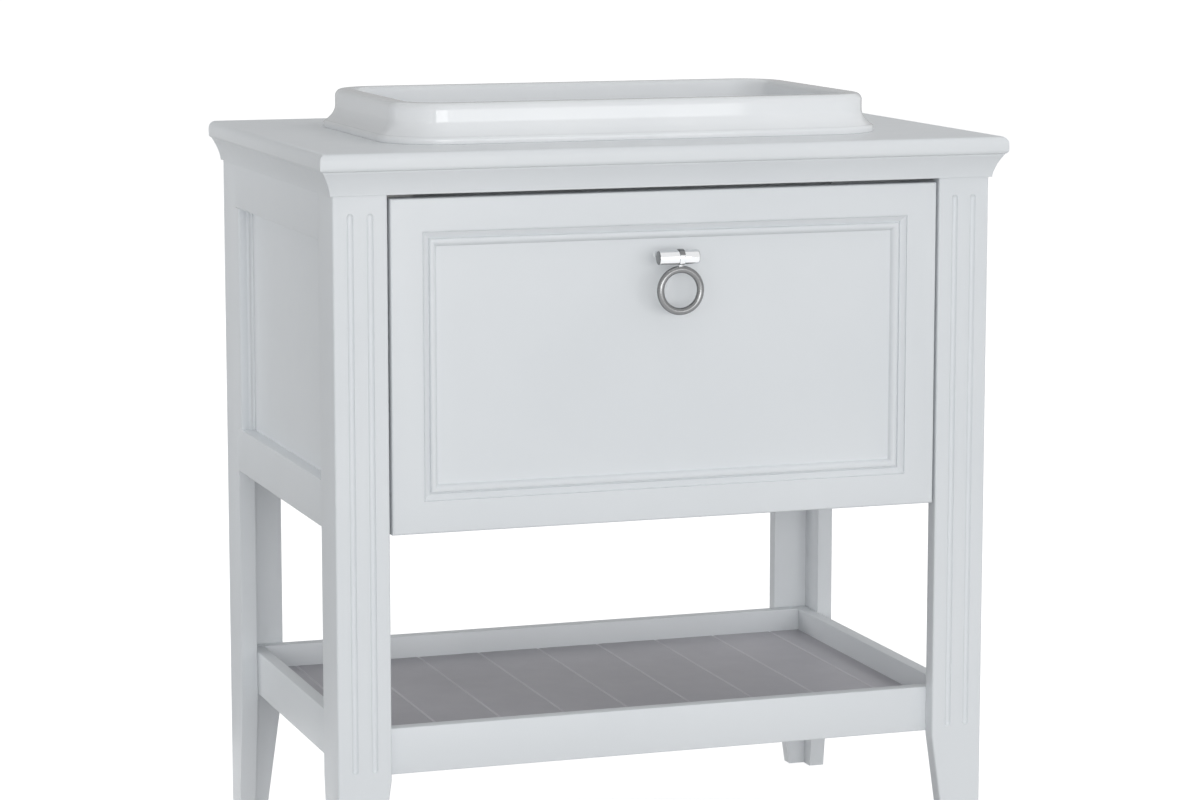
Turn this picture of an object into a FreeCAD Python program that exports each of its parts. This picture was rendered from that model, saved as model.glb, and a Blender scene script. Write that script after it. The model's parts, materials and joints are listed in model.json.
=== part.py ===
"""Free-standing bathroom vanity unit: painted frame on four fluted legs, one wide drawer with a
ring pull, an open tray shelf, a moulded counter and a ceramic basin with its waste.

X runs left to right, the front faces -Y and Z is up. The origin is on the floor, in the middle of
the unit's overall box. Lengths are in millimetres.
"""
import FreeCAD, Part
import math
import os
import re
import Sketcher

V = FreeCAD.Vector
doc = FreeCAD.newDocument("vanity_unit")

# Driving sizes, one cell each
SIZES = {
    # whole unit
    "counter_width": 800.0,
    "counter_overhang": 17.0,
    "frame_depth": 513.0,
    "counter_height": 842.0,
    "counter_thick": 20.0,
    "nose_radius": 8.5,
    "nose_low_radius": 4.5,
    "board": 19.0,
    # legs: two boards each, tapered on the inner edges near the floor
    "leg_width": 61.0,
    "foot_width": 39.0,
    "taper_height": 152.0,
    "flute_width": 7.0,
    "flute_depth": 2.4,
    "flute_spacing": 22.0,
    "flute_low": 162.0,
    "flute_top_margin": 46.0,
    # cove moulding under the counter
    "cornice_height": 26.5,
    "cornice_foot": 2.9,
    "cornice_reach": 13.3,
    "cornice_fillet": 1.5,
    "cove_hollow": 1.4,
    # framed sides
    "side_bottom": 427.5,
    "side_low_rail": 52.0,
    "side_top_rail": 78.5,
    "side_sheet": 3.0,
    "side_border": 15.0,
    # back rails and wall fixing
    "back_rail": 100.0,
    "wall_hole": 8.0,
    "wall_hole_inset": 72.0,
    # tray shelf
    "shelf_height": 206.0,
    "shelf_rail_height": 52.0,
    "shelf_rail": 16.0,
    "shelf_drop": 27.0,
    "shelf_panel": 12.0,
    "groove_width": 3.0,
    "groove_depth": 2.0,
    # drawer front
    "drawer_low": 424.5,
    "drawer_gap": 3.0,
    "drawer_top_gap": 4.7,
    "front_thick": 22.0,
    "front_frame": 35.8,
    "moulding_width": 17.5,
    "panel_recess": 8.5,
    "front_panel": 10.0,
    # drawer box
    "box_rise": 14.0,
    "box_rear_gap": 42.0,
    "box_side": 13.0,
    "side_height": 160.0,
    "back_drop": 20.0,
    "box_bottom": 8.0,
    "bottom_rise": 6.0,
    "recess_width": 240.0,
    "recess_clear": 30.0,
    "recess_wall": 3.0,
    # drawer runners
    "runner_thick": 12.7,
    "runner_tall": 45.0,
    "runner_setback": 3.0,
    "runner_rear_gap": 27.0,
    "runner_wall": 1.2,
    "runner_play": 0.5,
    "runner_channel": 10.0,
    "bearer_height": 50.0,
    # ring pull
    "handle_margin": 17.7,
    "bar_standoff": 25.0,
    "bar_length": 47.0,
    "bar_diameter": 16.0,
    "bar_chamfer": 1.5,
    "post_diameter": 7.0,
    "post_spacing": 24.0,
    "bar_clearance": 0.3,
    "collar_wall": 1.0,
    "collar_width": 6.0,
    "ring_shift": 3.0,
    "ring_diameter": 54.5,
    "ring_wire": 8.0,
    "neck_depth": 5.0,
    "screw_diameter": 4.0,
    "screw_clearance": 0.2,
    "screw_grip": 8.0,
    "screw_head": 8.0,
    "screw_head_height": 2.6,
    # basin
    "basin_width": 562.0,
    "basin_depth": 340.0,
    "basin_corner": 58.0,
    "basin_centre": 253.0,
    "basin_flange": 14.0,
    "rim_height": 44.0,
    "rim_lip": 20.0,
    "bowl_depth": 125.0,
    "bowl_inset": 46.0,
    "bowl_wall": 11.0,
    "cutout_clearance": 3.0,
    # waste
    "drain_hole": 46.0,
    "waste_flange": 64.0,
    "waste_flange_thick": 3.0,
    "waste_tail": 41.9,
    "waste_neck": 41.0,
    "waste_bore": 35.0,
    "tail_length": 75.0,
    "seal_width": 60.0,
    "seal_thick": 3.0,
    "nut_flats": 56.0,
    "nut_thick": 10.0,
    "nut_clearance": 0.3,
    "bridge_width": 8.0,
    "bridge_thick": 8.0,
    "bridge_drop": 30.0,
    "plug_hub": 16.0,
    "plug_stem": 8.0,
    "plug_clearance": 0.4,
    "plug_cap": 60.0,
    "plug_cap_thick": 5.0,
    "plug_lift": 9.0,
    "plug_reach": 16.0,
    # how far a cutting tool runs past the piece
    "overrun": 2.0,
}

# Places worked out from the driving sizes
PLACES = {
    "half_width": "counter_width / 2 - counter_overhang",
    "half_inner": "half_width - board",
    "half_opening": "half_width - leg_width",
    "wall_hole_reach": "half_opening - wall_hole_inset",
    "slab_low": "counter_height - counter_thick",
    "cornice_low": "slab_low - cornice_height",
    "rear_inner": "frame_depth - board",
    "rear_leg": "frame_depth - leg_width",
    "flute_radius": "(flute_width ^ 2 / 4 + flute_depth ^ 2) / (2 * flute_depth)",
    "side_opening_low": "side_bottom + side_low_rail",
    "side_opening_top": "slab_low - side_top_rail",
    "shelf_low": "shelf_height - shelf_rail_height",
    "shelf_top": "shelf_height - shelf_drop",
    "shelf_half": "half_inner - shelf_rail",
    "drawer_top": "cornice_low - drawer_top_gap",
    "front_half": "half_opening - drawer_gap",
    "panel_half": "front_half - front_frame",
    "panel_low": "drawer_low + front_frame",
    "panel_top": "drawer_top - front_frame",
    "panel_back": "panel_recess + front_panel",
    "box_half": "front_half - runner_thick",
    "box_inner": "box_half - box_side",
    "box_low": "drawer_low + box_rise",
    "box_top": "box_low + side_height",
    "back_top": "box_top - back_drop",
    "bottom_low": "box_low + bottom_rise",
    "bottom_top": "bottom_low + box_bottom",
    "box_rear": "rear_inner - box_rear_gap",
    "recess_front": "basin_centre - waste_flange / 2 - recess_clear",
    "runner_mid": "box_low + side_height / 2",
    "runner_face": "box_half + runner_thick",
    "runner_front": "front_thick + runner_setback",
    "runner_length": "box_rear - runner_rear_gap - runner_front",
    "bar_height": "panel_top - moulding_width - handle_margin",
    "collar_bore": "bar_diameter / 2 + bar_clearance",
    "collar_radius": "collar_bore + collar_wall",
    "ring_height": "bar_height - collar_radius - ring_diameter / 2",
    "front": "(bar_standoff + collar_radius - frame_depth) / 2",
    "rim_top": "counter_height + rim_height",
    "bowl_floor": "rim_top - bowl_depth",
    "bowl_under": "bowl_floor - bowl_wall",
    "inner_corner": "basin_corner - rim_lip",
    "waste_top": "bowl_floor + waste_flange_thick",
    "nut_low": "bowl_under - seal_thick - nut_thick",
    "tail_low": "bowl_under - tail_length",
    "bridge_top": "bowl_floor - bridge_drop",
    "plug_low": "waste_top + plug_lift",
}

sheet = doc.addObject("Spreadsheet::Sheet", "Sizes")
for row, (alias, size) in enumerate(SIZES.items(), start=1):
    sheet.set(f"A{row}", alias)
    sheet.set(f"B{row}", str(size))
    sheet.setAlias(f"B{row}", alias)
doc.recompute()

NAME = re.compile(r"[a-z]+(?:_[a-z]+)*")


def formula(text):
    """Spells a formula out in sheet cells: places are opened up until only driving sizes are left."""
    def spell(match):
        word = match.group(0)
        if word in PLACES:
            return "(" + formula(PLACES[word]) + ")"
        return "Sizes." + word if word in SIZES else word
    return NAME.sub(spell, str(text))


def size(text):
    """The number that a formula gives at the present sizes."""
    return float(sheet.evalExpression(formula(text)))


def bind(thing, **formulas):
    """Ties properties of an object to formulas."""
    for prop, text in formulas.items():
        thing.setExpression(prop, formula(text))


def put(thing, x, y, z):
    """Ties an object's place to formulas; y counts backwards from the front face of the legs."""
    thing.setExpression("Placement.Base.x", formula(x))
    thing.setExpression("Placement.Base.y", formula(f"front + ({y})"))
    thing.setExpression("Placement.Base.z", formula(z))
    return thing


nodes = []


def keep(thing, label):
    """Names a finished sub-part and lists it for writing."""
    thing.Label = label
    nodes.append(thing)
    return thing


def block(name, x, y, z):
    """A plain board between pairs of formulas (low, high) in x, y and z."""
    plank = doc.addObject("Part::Box", name)
    spans = [f"({high}) - ({low})" for low, high in (x, y, z)]
    bind(plank, Length=spans[0], Width=spans[1], Height=spans[2])
    return put(plank, x[0], y[0], z[0])


def rod(name, radius, length, x, y, z, turn=None):
    """A round bar from a place; it points up unless it is turned."""
    bar = doc.addObject("Part::Cylinder", name)
    bind(bar, Radius=radius, Height=length)
    if turn:
        bar.Placement = FreeCAD.Placement(V(0, 0, 0), turn)
    return put(bar, x, y, z)


def cut(name, base, *tools):
    """The base with each tool cut out in turn."""
    for number, tool in enumerate(tools, start=1):
        trimmed = doc.addObject("Part::Cut", f"{name}_cut{number}")
        trimmed.Base = base
        trimmed.Tool = tool
        base = trimmed
    return base


def join(name, base, *others):
    """The base with each other solid fused to it in turn."""
    for number, other in enumerate(others, start=1):
        fused = doc.addObject("Part::Fuse", f"{name}_join{number}")
        fused.Base = base
        fused.Tool = other
        base = fused
    return base


def shared(name, base, tool):
    """The solid that two solids have in common."""
    common = doc.addObject("Part::Common", name)
    common.Base = base
    common.Tool = tool
    return common


# Ways to stand a profile: its own x and y, then the direction in which it is drawn out
PLAN = FreeCAD.Rotation()
FRONT = FreeCAD.Rotation(V(1, 0, 0), 90)
SIDE = FreeCAD.Rotation(V(1, 1, 1), 120)
ALONG_X = FreeCAD.Rotation(V(0, 1, 0), 90)
ALONG_Y = FreeCAD.Rotation(V(1, 0, 0), -90)


def arc_centre(start, end, radius, turn):
    """Centre of the arc from start to end that turns left (1) or right (-1)."""
    chord = end - start
    half = chord.Length / 2
    height = math.sqrt(max(radius * radius - half * half, 0))
    left = V(-chord.y, chord.x, 0).normalize()
    return (start + end) / 2 + left * (turn * height)


def sketch(body, name, loops, height=None):
    """A sketch on the body's XY plane whose corners and radii are tied to formulas.

    Each loop is a list of corners (x, y), or (x, y, radius, turn) where an arc leads to that corner.
    """
    drawing = body.newObject("Sketcher::SketchObject", name)
    plane = next(item for item in body.Origin.OriginFeatures if item.Role == "XY_Plane")
    drawing.AttachmentSupport = (plane, [""])
    drawing.MapMode = "FlatFace"
    if height is not None:
        drawing.setExpression("AttachmentOffset.Base.z", formula(height))
    for loop in loops:
        draw_loop(drawing, loop)
    return drawing


def tie(drawing, constraint, text):
    """Adds a constraint whose value is a formula."""
    number = drawing.addConstraint(constraint)
    drawing.setExpression(f"Constraints[{number}]", formula(text))


def draw_loop(drawing, loop):
    """Draws one closed loop and fixes its corners."""
    points = [V(size(corner[0]), size(corner[1]), 0) for corner in loop]
    first = drawing.GeometryCount
    ends = []
    for number, corner in enumerate(loop):
        start = points[number - 1]
        end = points[number]
        if len(corner) == 2:
            edge = drawing.addGeometry(Part.LineSegment(start, end), False)
            ends.append((edge, 1, 2))
            continue
        radius = size(corner[2])
        middle = arc_centre(start, end, radius, corner[3])
        angles = [math.atan2(point.y - middle.y, point.x - middle.x) for point in (start, end)]
        circle = Part.Circle(middle, V(0, 0, 1), radius)
        run = angles if corner[3] > 0 else angles[::-1]
        edge = drawing.addGeometry(Part.ArcOfCircle(circle, *run), False)
        ends.append((edge, 1, 2) if corner[3] > 0 else (edge, 2, 1))
    for number, (edge, start, end) in enumerate(ends):
        following = ends[(number + 1) % len(ends)]
        drawing.addConstraint(Sketcher.Constraint("Coincident", edge, end, following[0], following[1]))
        corner = loop[number]
        point = points[number]
        tie(drawing, Sketcher.Constraint("DistanceX", -1, 1, edge, end, point.x), corner[0])
        tie(drawing, Sketcher.Constraint("DistanceY", -1, 1, edge, end, point.y), corner[1])
        if len(corner) > 2:
            tie(drawing, Sketcher.Constraint("Radius", first + number, size(corner[2])), corner[2])


def drawn_out(name, loop, length, stand, x, y, z):
    """A body whose profile is drawn out by a length, stood up and put in its place."""
    body = doc.addObject("PartDesign::Body", name)
    profile = sketch(body, name + "_profile", [loop])
    pad = body.newObject("PartDesign::Pad", name + "_pad")
    pad.Profile = profile
    bind(pad, Length=length)
    body.Placement = FreeCAD.Placement(V(0, 0, 0), stand)
    return put(body, x, y, z)


SIDES = {"left": -1, "right": 1}


def across(sign, low, high):
    """A pair of x formulas on the left (-1) or right (1) side, lowest first."""
    return (f"-({high})", f"-({low})") if sign < 0 else (low, high)


def leg_outline(sign, inner, outer, foot):
    """A leg board seen flat: straight outer edge, inner edge tapered to the foot."""
    across_values = [outer, outer, inner, inner, foot]
    heights = ["0", "slab_low", "slab_low", "taper_height", "0"]
    return [(f"{sign} * ({value})", height) for value, height in zip(across_values, heights)]


def flute(name, x):
    """A round-ended groove cutter that stands in front of a leg."""
    low = "flute_low + flute_width / 2"
    high = "slab_low - flute_top_margin - flute_width / 2"
    depth = "flute_depth - flute_radius"
    shaft = rod(name + "_shaft", "flute_radius", f"({high}) - ({low})", x, depth, low)
    balls = []
    for end, height in (("low", low), ("high", high)):
        ball = doc.addObject("Part::Sphere", f"{name}_{end}")
        bind(ball, Radius="flute_radius")
        balls.append(put(ball, x, depth, height))
    return join(name, shaft, *balls)


# Legs
for side, sign in SIDES.items():
    outline = leg_outline(sign, "half_opening", "half_width", "half_width - foot_width")
    for end, back in (("front", "board"), ("rear", "frame_depth")):
        name = f"leg_{end}_{side}_face"
        face = drawn_out(name + "_board", outline, "board", FRONT, "0", back, "0")
        if end == "front":
            middle = "half_width - leg_width / 2"
            places = [f"{sign} * ({middle}) + {shift} * flute_spacing / 2" for shift in (-1, 1)]
            flutes = [flute(f"{name}_flute{number}", x) for number, x in enumerate(places, start=1)]
            face = cut(name, face, *flutes)
        keep(face, name)
        edges = ("leg_width", "board", "foot_width")
        if end == "rear":
            edges = tuple(f"frame_depth - {edge}" for edge in edges)
        outline_y = leg_outline(1, *edges)
        low_x = across(sign, "half_inner", "half_width")[0]
        name = f"leg_{end}_{side}_side"
        keep(drawn_out(name + "_board", outline_y, "board", SIDE, low_x, "0", "0"), name)

# Framed sides between the legs
for side, sign in SIDES.items():
    run = ("leg_width", "rear_leg")
    thick = across(sign, "half_inner", "half_width")
    low_rail = block(f"side_{side}_bottom", thick, run, ("side_bottom", "side_opening_low"))
    keep(low_rail, f"side_{side}_bottom_rail")
    top_rail = block(f"side_{side}_top", thick, run, ("side_opening_top", "slab_low"))
    keep(top_rail, f"side_{side}_top_rail")
    height = ("side_opening_low", "side_opening_top")
    sheet_x = across(sign, "half_inner", "half_inner + side_sheet")
    sheet_part = block(f"side_{side}_sheet", sheet_x, run, height)
    border = block(f"side_{side}_border", thick, ("rear_leg - side_border", "rear_leg"), height)
    keep(join(f"side_{side}", sheet_part, border), f"side_{side}_panel")

# Rails across the frame
rail_x = ("-half_opening", "half_opening")
rear_y = ("rear_inner", "frame_depth")
keep(block("front_rail", rail_x, ("0", "board"), ("cornice_low", "slab_low")), "front_top_rail")
back_top = block("back_top_board", rail_x, rear_y, ("slab_low - back_rail", "slab_low"))
wall_holes = [rod(f"wall_hole_{side}", "wall_hole / 2", "board + 2 * overrun",
                  f"{sign} * wall_hole_reach", "rear_inner - overrun", "slab_low - back_rail / 2",
                  ALONG_Y) for side, sign in SIDES.items()]
keep(cut("back_top", back_top, *wall_holes), "back_top_rail")
keep(block("back_low", rail_x, rear_y, ("side_bottom", "side_opening_low")), "back_bottom_rail")

# Cove moulding under the counter: a small foot, then a hollow that flares out to the nose
cove_rise = "cornice_height - 2 * cornice_fillet"
cove_flare = "cornice_reach - cornice_foot"
cove_chord = f"(({cove_rise}) ^ 2 + ({cove_flare}) ^ 2)"
cove_radius = f"{cove_chord} / (8 * cove_hollow) + cove_hollow / 2"


def cove_profile(sign):
    """The cove seen from its end: outward reach along x, height along y."""
    turn = 1 if sign < 0 else -1
    return [("0", "cornice_low"),
            (f"{sign} * cornice_foot", "cornice_low"),
            (f"{sign} * cornice_foot", "cornice_low + cornice_fillet"),
            (f"{sign} * cornice_reach", "slab_low - cornice_fillet", cove_radius, turn),
            (f"{sign} * cornice_reach", "slab_low"),
            ("0", "slab_low")]


cove_end = "half_width + cornice_reach"
cove_front = drawn_out("cove_front", cove_profile(-1), f"2 * ({cove_end})", SIDE, f"-({cove_end})", "0", "0")
mitre = [("-half_width", "0"), (f"-({cove_end})", "-cornice_reach"),
         (cove_end, "-cornice_reach"), ("half_width", "0")]
cove_keep = drawn_out("cove_front_mitre", mitre, "cornice_height", PLAN, "0", "0", "cornice_low")
keep(shared("cove_front_strip", cove_front, cove_keep), "cornice_front")
for side, sign in SIDES.items():
    cove = drawn_out(f"cove_{side}", cove_profile(sign), "frame_depth + cornice_reach", FRONT,
                     f"{sign} * half_width", "frame_depth", "0")
    plan = [(f"{sign} * half_width", "0"), (f"{sign} * half_width", "frame_depth"),
            (f"{sign} * ({cove_end})", "frame_depth"), (f"{sign} * ({cove_end})", "-cornice_reach")]
    cove_keep = drawn_out(f"cove_{side}_mitre", plan, "cornice_height", PLAN, "0", "0", "cornice_low")
    keep(shared(f"cove_{side}_strip", cove, cove_keep), f"cornice_{side}")


def rounded(half_x, half_y, radius):
    """A rectangle about the origin with rounded corners, counted as corners of a loop."""
    straight_x = f"({half_x}) - ({radius})"
    straight_y = f"({half_y}) - ({radius})"
    loop = []
    for sx, sy in ((1, 1), (-1, 1), (-1, -1), (1, -1)):
        upright = (f"{sx} * ({half_x})", f"{sy} * ({straight_y})")
        level = (f"{sx} * ({straight_x})", f"{sy} * ({half_y})")
        first, last = (upright, level) if sx == sy else (level, upright)
        loop.append(first)
        loop.append(last + (radius, 1))
    return loop


# Counter with a rounded nose on three sides and the cut-out for the bowl
# largest nose radius, as a share of the counter's thickness
NOSE_SHARE = 0.45
slab = doc.addObject("PartDesign::Body", "slab")
slab_loop = [("-counter_width / 2", "-counter_overhang"), ("counter_width / 2", "-counter_overhang"),
             ("counter_width / 2", "frame_depth"), ("-counter_width / 2", "frame_depth")]
slab_plan = sketch(slab, "slab_plan", [slab_loop])
slab_pad = slab.newObject("PartDesign::Pad", "slab_pad")
slab_pad.Profile = slab_plan
bind(slab_pad, Length="counter_thick")
put(slab, "0", "0", "slab_low")
doc.recompute()


def nose_edges(feature, height):
    """Names of the level edges at a height above the slab's foot, apart from the rear one."""
    names = []
    for number, edge in enumerate(feature.Shape.Edges, start=1):
        box = edge.BoundBox
        level = box.ZLength < size("overrun")
        at_height = abs(box.ZMin - height) < size("overrun")
        at_rear = box.YMin > size("frame_depth - overrun")
        if level and at_height and not at_rear:
            names.append(f"Edge{number}")
    return names


nose_top = slab.newObject("PartDesign::Fillet", "slab_nose_top")
nose_top.Base = (slab_pad, nose_edges(slab_pad, size("counter_thick")))
bind(nose_top, Radius=f"min(nose_radius; {NOSE_SHARE} * counter_thick)")
doc.recompute()
nose_foot = slab.newObject("PartDesign::Fillet", "slab_nose_foot")
nose_foot.Base = (nose_top, nose_edges(nose_top, 0.0))
bind(nose_foot, Radius=f"min(nose_low_radius; {NOSE_SHARE} * counter_thick)")
shell_x = "basin_width / 2 - rim_lip + bowl_wall"
shell_y = "basin_depth / 2 - rim_lip + bowl_wall"
cutout_loop = rounded(f"{shell_x} + cutout_clearance", f"{shell_y} + cutout_clearance",
                      "inner_corner + bowl_wall + cutout_clearance")
cutout = drawn_out("cutout", cutout_loop, "counter_thick + 2 * overrun", PLAN,
                   "0", "basin_centre", "slab_low - overrun")
keep(cut("counter", slab, cutout), "counter_top")

# Basin: flange, hollow sweep and upright wall outside; inside, a bowl that rounds into its floor
# outside: share of the rim height, share of the flange's reach
WALL_SHARES = [(0.0, 1.0), (0.12, 1.0), (0.165, 0.93), (0.2, 0.78), (0.25, 0.55), (0.33, 0.29), (0.42, 0.1),
               (0.53, 0.0), (0.84, 0.0), (0.92, -0.1), (0.98, -0.3), (1.0, -0.55)]
# inside: share of the bowl's depth, share of its inset
BOWL_SHARES = [(0.0, 0.0), (0.04, 0.12), (0.3, 0.22), (0.6, 0.36), (0.8, 0.52), (0.92, 0.74), (1.0, 1.2)]
basin = doc.addObject("PartDesign::Body", "basin_body")


def loft(kind, name, sections):
    """Adds (or takes away) a loft through rounded rectangles (half x, half y, radius, height)."""
    drawings = [sketch(basin, f"{name}_{number}", [rounded(half_x, half_y, radius)], height)
                for number, (half_x, half_y, radius, height) in enumerate(sections, start=1)]
    feature = basin.newObject(f"PartDesign::{kind}Loft", name)
    feature.Profile = drawings[0]
    feature.Sections = drawings[1:]
    feature.Ruled = True
    return feature


def bowl_section(rise, inset, wall):
    """One level of the bowl, widened and lowered by the wall for the outside."""
    outset = f"{wall} - rim_lip - {inset} * bowl_inset"
    return (f"basin_width / 2 + {outset}", f"basin_depth / 2 + {outset}", f"inner_corner + {wall}",
            f"rim_height - {rise} * bowl_depth - {wall}")


loft("Additive", "basin_wall",
     [(f"basin_width / 2 + {reach} * basin_flange", f"basin_depth / 2 + {reach} * basin_flange",
       f"basin_corner + {reach} * basin_flange", f"{rise} * rim_height") for rise, reach in WALL_SHARES])
loft("Additive", "bowl_outside", [bowl_section(rise, inset, "bowl_wall") for rise, inset in BOWL_SHARES])
loft("Subtractive", "bowl_inside", [bowl_section(rise, inset, "0") for rise, inset in BOWL_SHARES])
put(basin, "0", "basin_centre", "counter_height")
drain = rod("drain", "drain_hole / 2", "bowl_wall + 2 * overrun", "0", "basin_centre",
            "bowl_under - overrun")
keep(cut("basin", basin, drain), "basin")

# Waste: flanged body with a guide bridge, seal and nut under the bowl, and a press plug
waste_at = ("0", "basin_centre")
flange = rod("waste_flange_disc", "waste_flange / 2", "waste_flange_thick", *waste_at, "bowl_floor")
neck = rod("waste_neck_tube", "waste_neck / 2", "waste_top - nut_low", *waste_at, "nut_low")
tail = rod("waste_tail_tube", "waste_tail / 2", "nut_low - tail_low", *waste_at, "tail_low")
bore = rod("waste_bore_tool", "waste_bore / 2", "waste_top - tail_low + 2 * overrun", *waste_at,
           "tail_low - overrun")
tube = cut("waste_tube", join("waste_outside", flange, neck, tail), bore)
bridge_z = ("bridge_top - bridge_thick", "bridge_top")
bridge_half = "(waste_bore + waste_neck) / 4"
bridge = block("waste_bridge", (f"-({bridge_half})", bridge_half),
               ("basin_centre - bridge_width / 2", "basin_centre + bridge_width / 2"), bridge_z)
hub = rod("waste_hub", "plug_hub / 2", "bridge_thick", *waste_at, bridge_z[0])
guide = rod("waste_guide", "plug_stem / 2 + plug_clearance", "bridge_thick + 2 * overrun", *waste_at,
            f"{bridge_z[0]} - overrun")
keep(cut("waste_guided", join("waste_bridged", tube, bridge, hub), guide), "waste_body")
ring_hole = "waste_tail / 2 + nut_clearance"
seal_disc = rod("seal_disc", "seal_width / 2", "seal_thick", *waste_at, "bowl_under - seal_thick")
seal_hole = rod("seal_hole", ring_hole, "seal_thick + 2 * overrun", *waste_at,
                "bowl_under - seal_thick - overrun")
keep(cut("seal", seal_disc, seal_hole), "waste_seal")
NUT_SIDES = 6
nut_reach = f"nut_flats / 2 / cos(180 / {NUT_SIDES})"
nut_angles = [360 * number / NUT_SIDES for number in range(NUT_SIDES)]
nut_loop = [(f"{nut_reach} * cos({angle})", f"{nut_reach} * sin({angle})") for angle in nut_angles]
nut_block = drawn_out("nut_block", nut_loop, "nut_thick", PLAN, *waste_at, "nut_low")
nut_hole = rod("nut_hole", ring_hole, "nut_thick + 2 * overrun", *waste_at, "nut_low - overrun")
keep(cut("nut", nut_block, nut_hole), "waste_nut")
stem_low = "bridge_top - bridge_thick - plug_reach"
cap = rod("plug_disc", "plug_cap / 2", "plug_cap_thick", *waste_at, "plug_low")
stem = rod("plug_rod", "plug_stem / 2", f"plug_low + plug_cap_thick / 2 - ({stem_low})", *waste_at, stem_low)
keep(join("plug", cap, stem), "waste_plug")

# Tray shelf: four rails nested inside the legs, a panel with grooves, cleats under it
shelf_z = ("shelf_low", "shelf_height")
full_x = ("-half_inner", "half_inner")
tray_front = ("board", "board + shelf_rail")
tray_rear = ("rear_inner - shelf_rail", "rear_inner")
inside_y = (tray_front[1], tray_rear[0])
keep(block("tray_front", full_x, tray_front, shelf_z), "shelf_front_rail")
keep(block("tray_rear", full_x, tray_rear, shelf_z), "shelf_rear_rail")
for side, sign in SIDES.items():
    tray_side = block(f"tray_{side}", across(sign, "shelf_half", "half_inner"), inside_y, shelf_z)
    keep(tray_side, f"shelf_{side}_rail")
PLANKS = 9
groove_pitch = f"2 * shelf_half / {PLANKS}"
shelf_loop = [("-shelf_half", "shelf_top - shelf_panel"), ("shelf_half", "shelf_top - shelf_panel"),
              ("shelf_half", "shelf_top")]
for number in range(PLANKS // 2, -PLANKS // 2, -1):
    shelf_loop += [(f"{number} * {groove_pitch} + groove_width / 2", "shelf_top"),
                   (f"{number} * {groove_pitch}", "shelf_top - groove_depth"),
                   (f"{number} * {groove_pitch} - groove_width / 2", "shelf_top")]
shelf_loop.append(("-shelf_half", "shelf_top"))
shelf_run = f"({inside_y[1]}) - ({inside_y[0]})"
keep(drawn_out("shelf_sheet", shelf_loop, shelf_run, FRONT, "0", inside_y[1], "0"), "shelf_panel")
cleat_z = ("shelf_low", "shelf_top - shelf_panel")
cleat_x = ("-shelf_half", "shelf_half")
cleats = doc.addObject("Part::Compound", "cleats")
cleats.Links = [block("cleat_front", cleat_x, (inside_y[0], f"{inside_y[0]} + shelf_rail"), cleat_z),
                block("cleat_rear", cleat_x, (f"{inside_y[1]} - shelf_rail", inside_y[1]), cleat_z)]
keep(cleats, "shelf_cleats")

# Drawer front: frame boards, mitred moulding, recessed panel
front_y = ("0", "front_thick")
for side, sign in SIDES.items():
    stile_x = across(sign, "panel_half", "front_half")
    keep(block(f"front_stile_{side}", stile_x, front_y, ("drawer_low", "drawer_top")),
         f"drawer_front_{side}_stile")
panel_x = ("-panel_half", "panel_half")
keep(block("front_top", panel_x, front_y, ("panel_top", "drawer_top")), "drawer_front_top_rail")
keep(block("front_low", panel_x, front_y, ("drawer_low", "panel_low")), "drawer_front_bottom_rail")
panel = block("front_sheet", panel_x, ("panel_recess", "panel_back"), ("panel_low", "panel_top"))
screw_x = [f"{sign} * post_spacing / 2" for sign in SIDES.values()]
screw_bore = "screw_diameter / 2 + screw_clearance"
panel_holes = [rod(f"panel_hole{number}", screw_bore, "front_panel + 2 * overrun", x,
                   "panel_recess - overrun", "bar_height", ALONG_Y)
               for number, x in enumerate(screw_x, start=1)]
keep(cut("front_panel_holed", panel, *panel_holes), "drawer_front_panel")

# moulding profile: share of its width from the frame, share of the recess from the front
MOULDING_SHARES = [(0.0, 0.04), (0.02, 0.07), (0.2, 0.24), (0.38, 0.36), (0.4, 0.56), (0.47, 0.56),
                   (0.5, 0.38), (0.55, 0.27), (0.62, 0.24), (0.75, 0.25), (0.83, 0.33), (0.89, 0.5),
                   (0.93, 0.72), (1.0, 1.0)]


def moulding_profile(edge, sign, swap):
    """The stepped moulding seen from its end, from a frame edge towards the panel's middle."""
    points = [(f"{edge} + {sign * run} * moulding_width", f"{drop} * panel_recess")
              for run, drop in MOULDING_SHARES]
    points.append((edge, "panel_recess"))
    return [(drop, run) for run, drop in points] if swap else points


mould_x = "panel_half - moulding_width"
mould_low = "panel_low + moulding_width"
mould_top = "panel_top - moulding_width"
for side, sign in SIDES.items():
    strip = drawn_out(f"mould_{side}", moulding_profile(f"{sign} * panel_half", -sign, False),
                      "panel_top - panel_low", PLAN, "0", "0", "panel_low")
    trim = [(f"{sign} * panel_half", "panel_low"), (f"{sign} * panel_half", "panel_top"),
            (f"{sign} * ({mould_x})", mould_top), (f"{sign} * ({mould_x})", mould_low)]
    trim_part = drawn_out(f"mould_{side}_mitre", trim, "panel_recess", FRONT, "0", "panel_recess", "0")
    keep(shared(f"mould_{side}_strip", strip, trim_part), f"drawer_moulding_{side}")
for end, edge, inner, sign in (("bottom", "panel_low", mould_low, 1), ("top", "panel_top", mould_top, -1)):
    strip = drawn_out(f"mould_{end}", moulding_profile(edge, sign, True), "2 * panel_half", SIDE,
                      "-panel_half", "0", "0")
    trim = [("-panel_half", edge), ("panel_half", edge), (mould_x, inner), (f"-({mould_x})", inner)]
    trim_part = drawn_out(f"mould_{end}_mitre", trim, "panel_recess", FRONT, "0", "panel_recess", "0")
    keep(shared(f"mould_{end}_strip", strip, trim_part), f"drawer_moulding_{end}")

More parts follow.
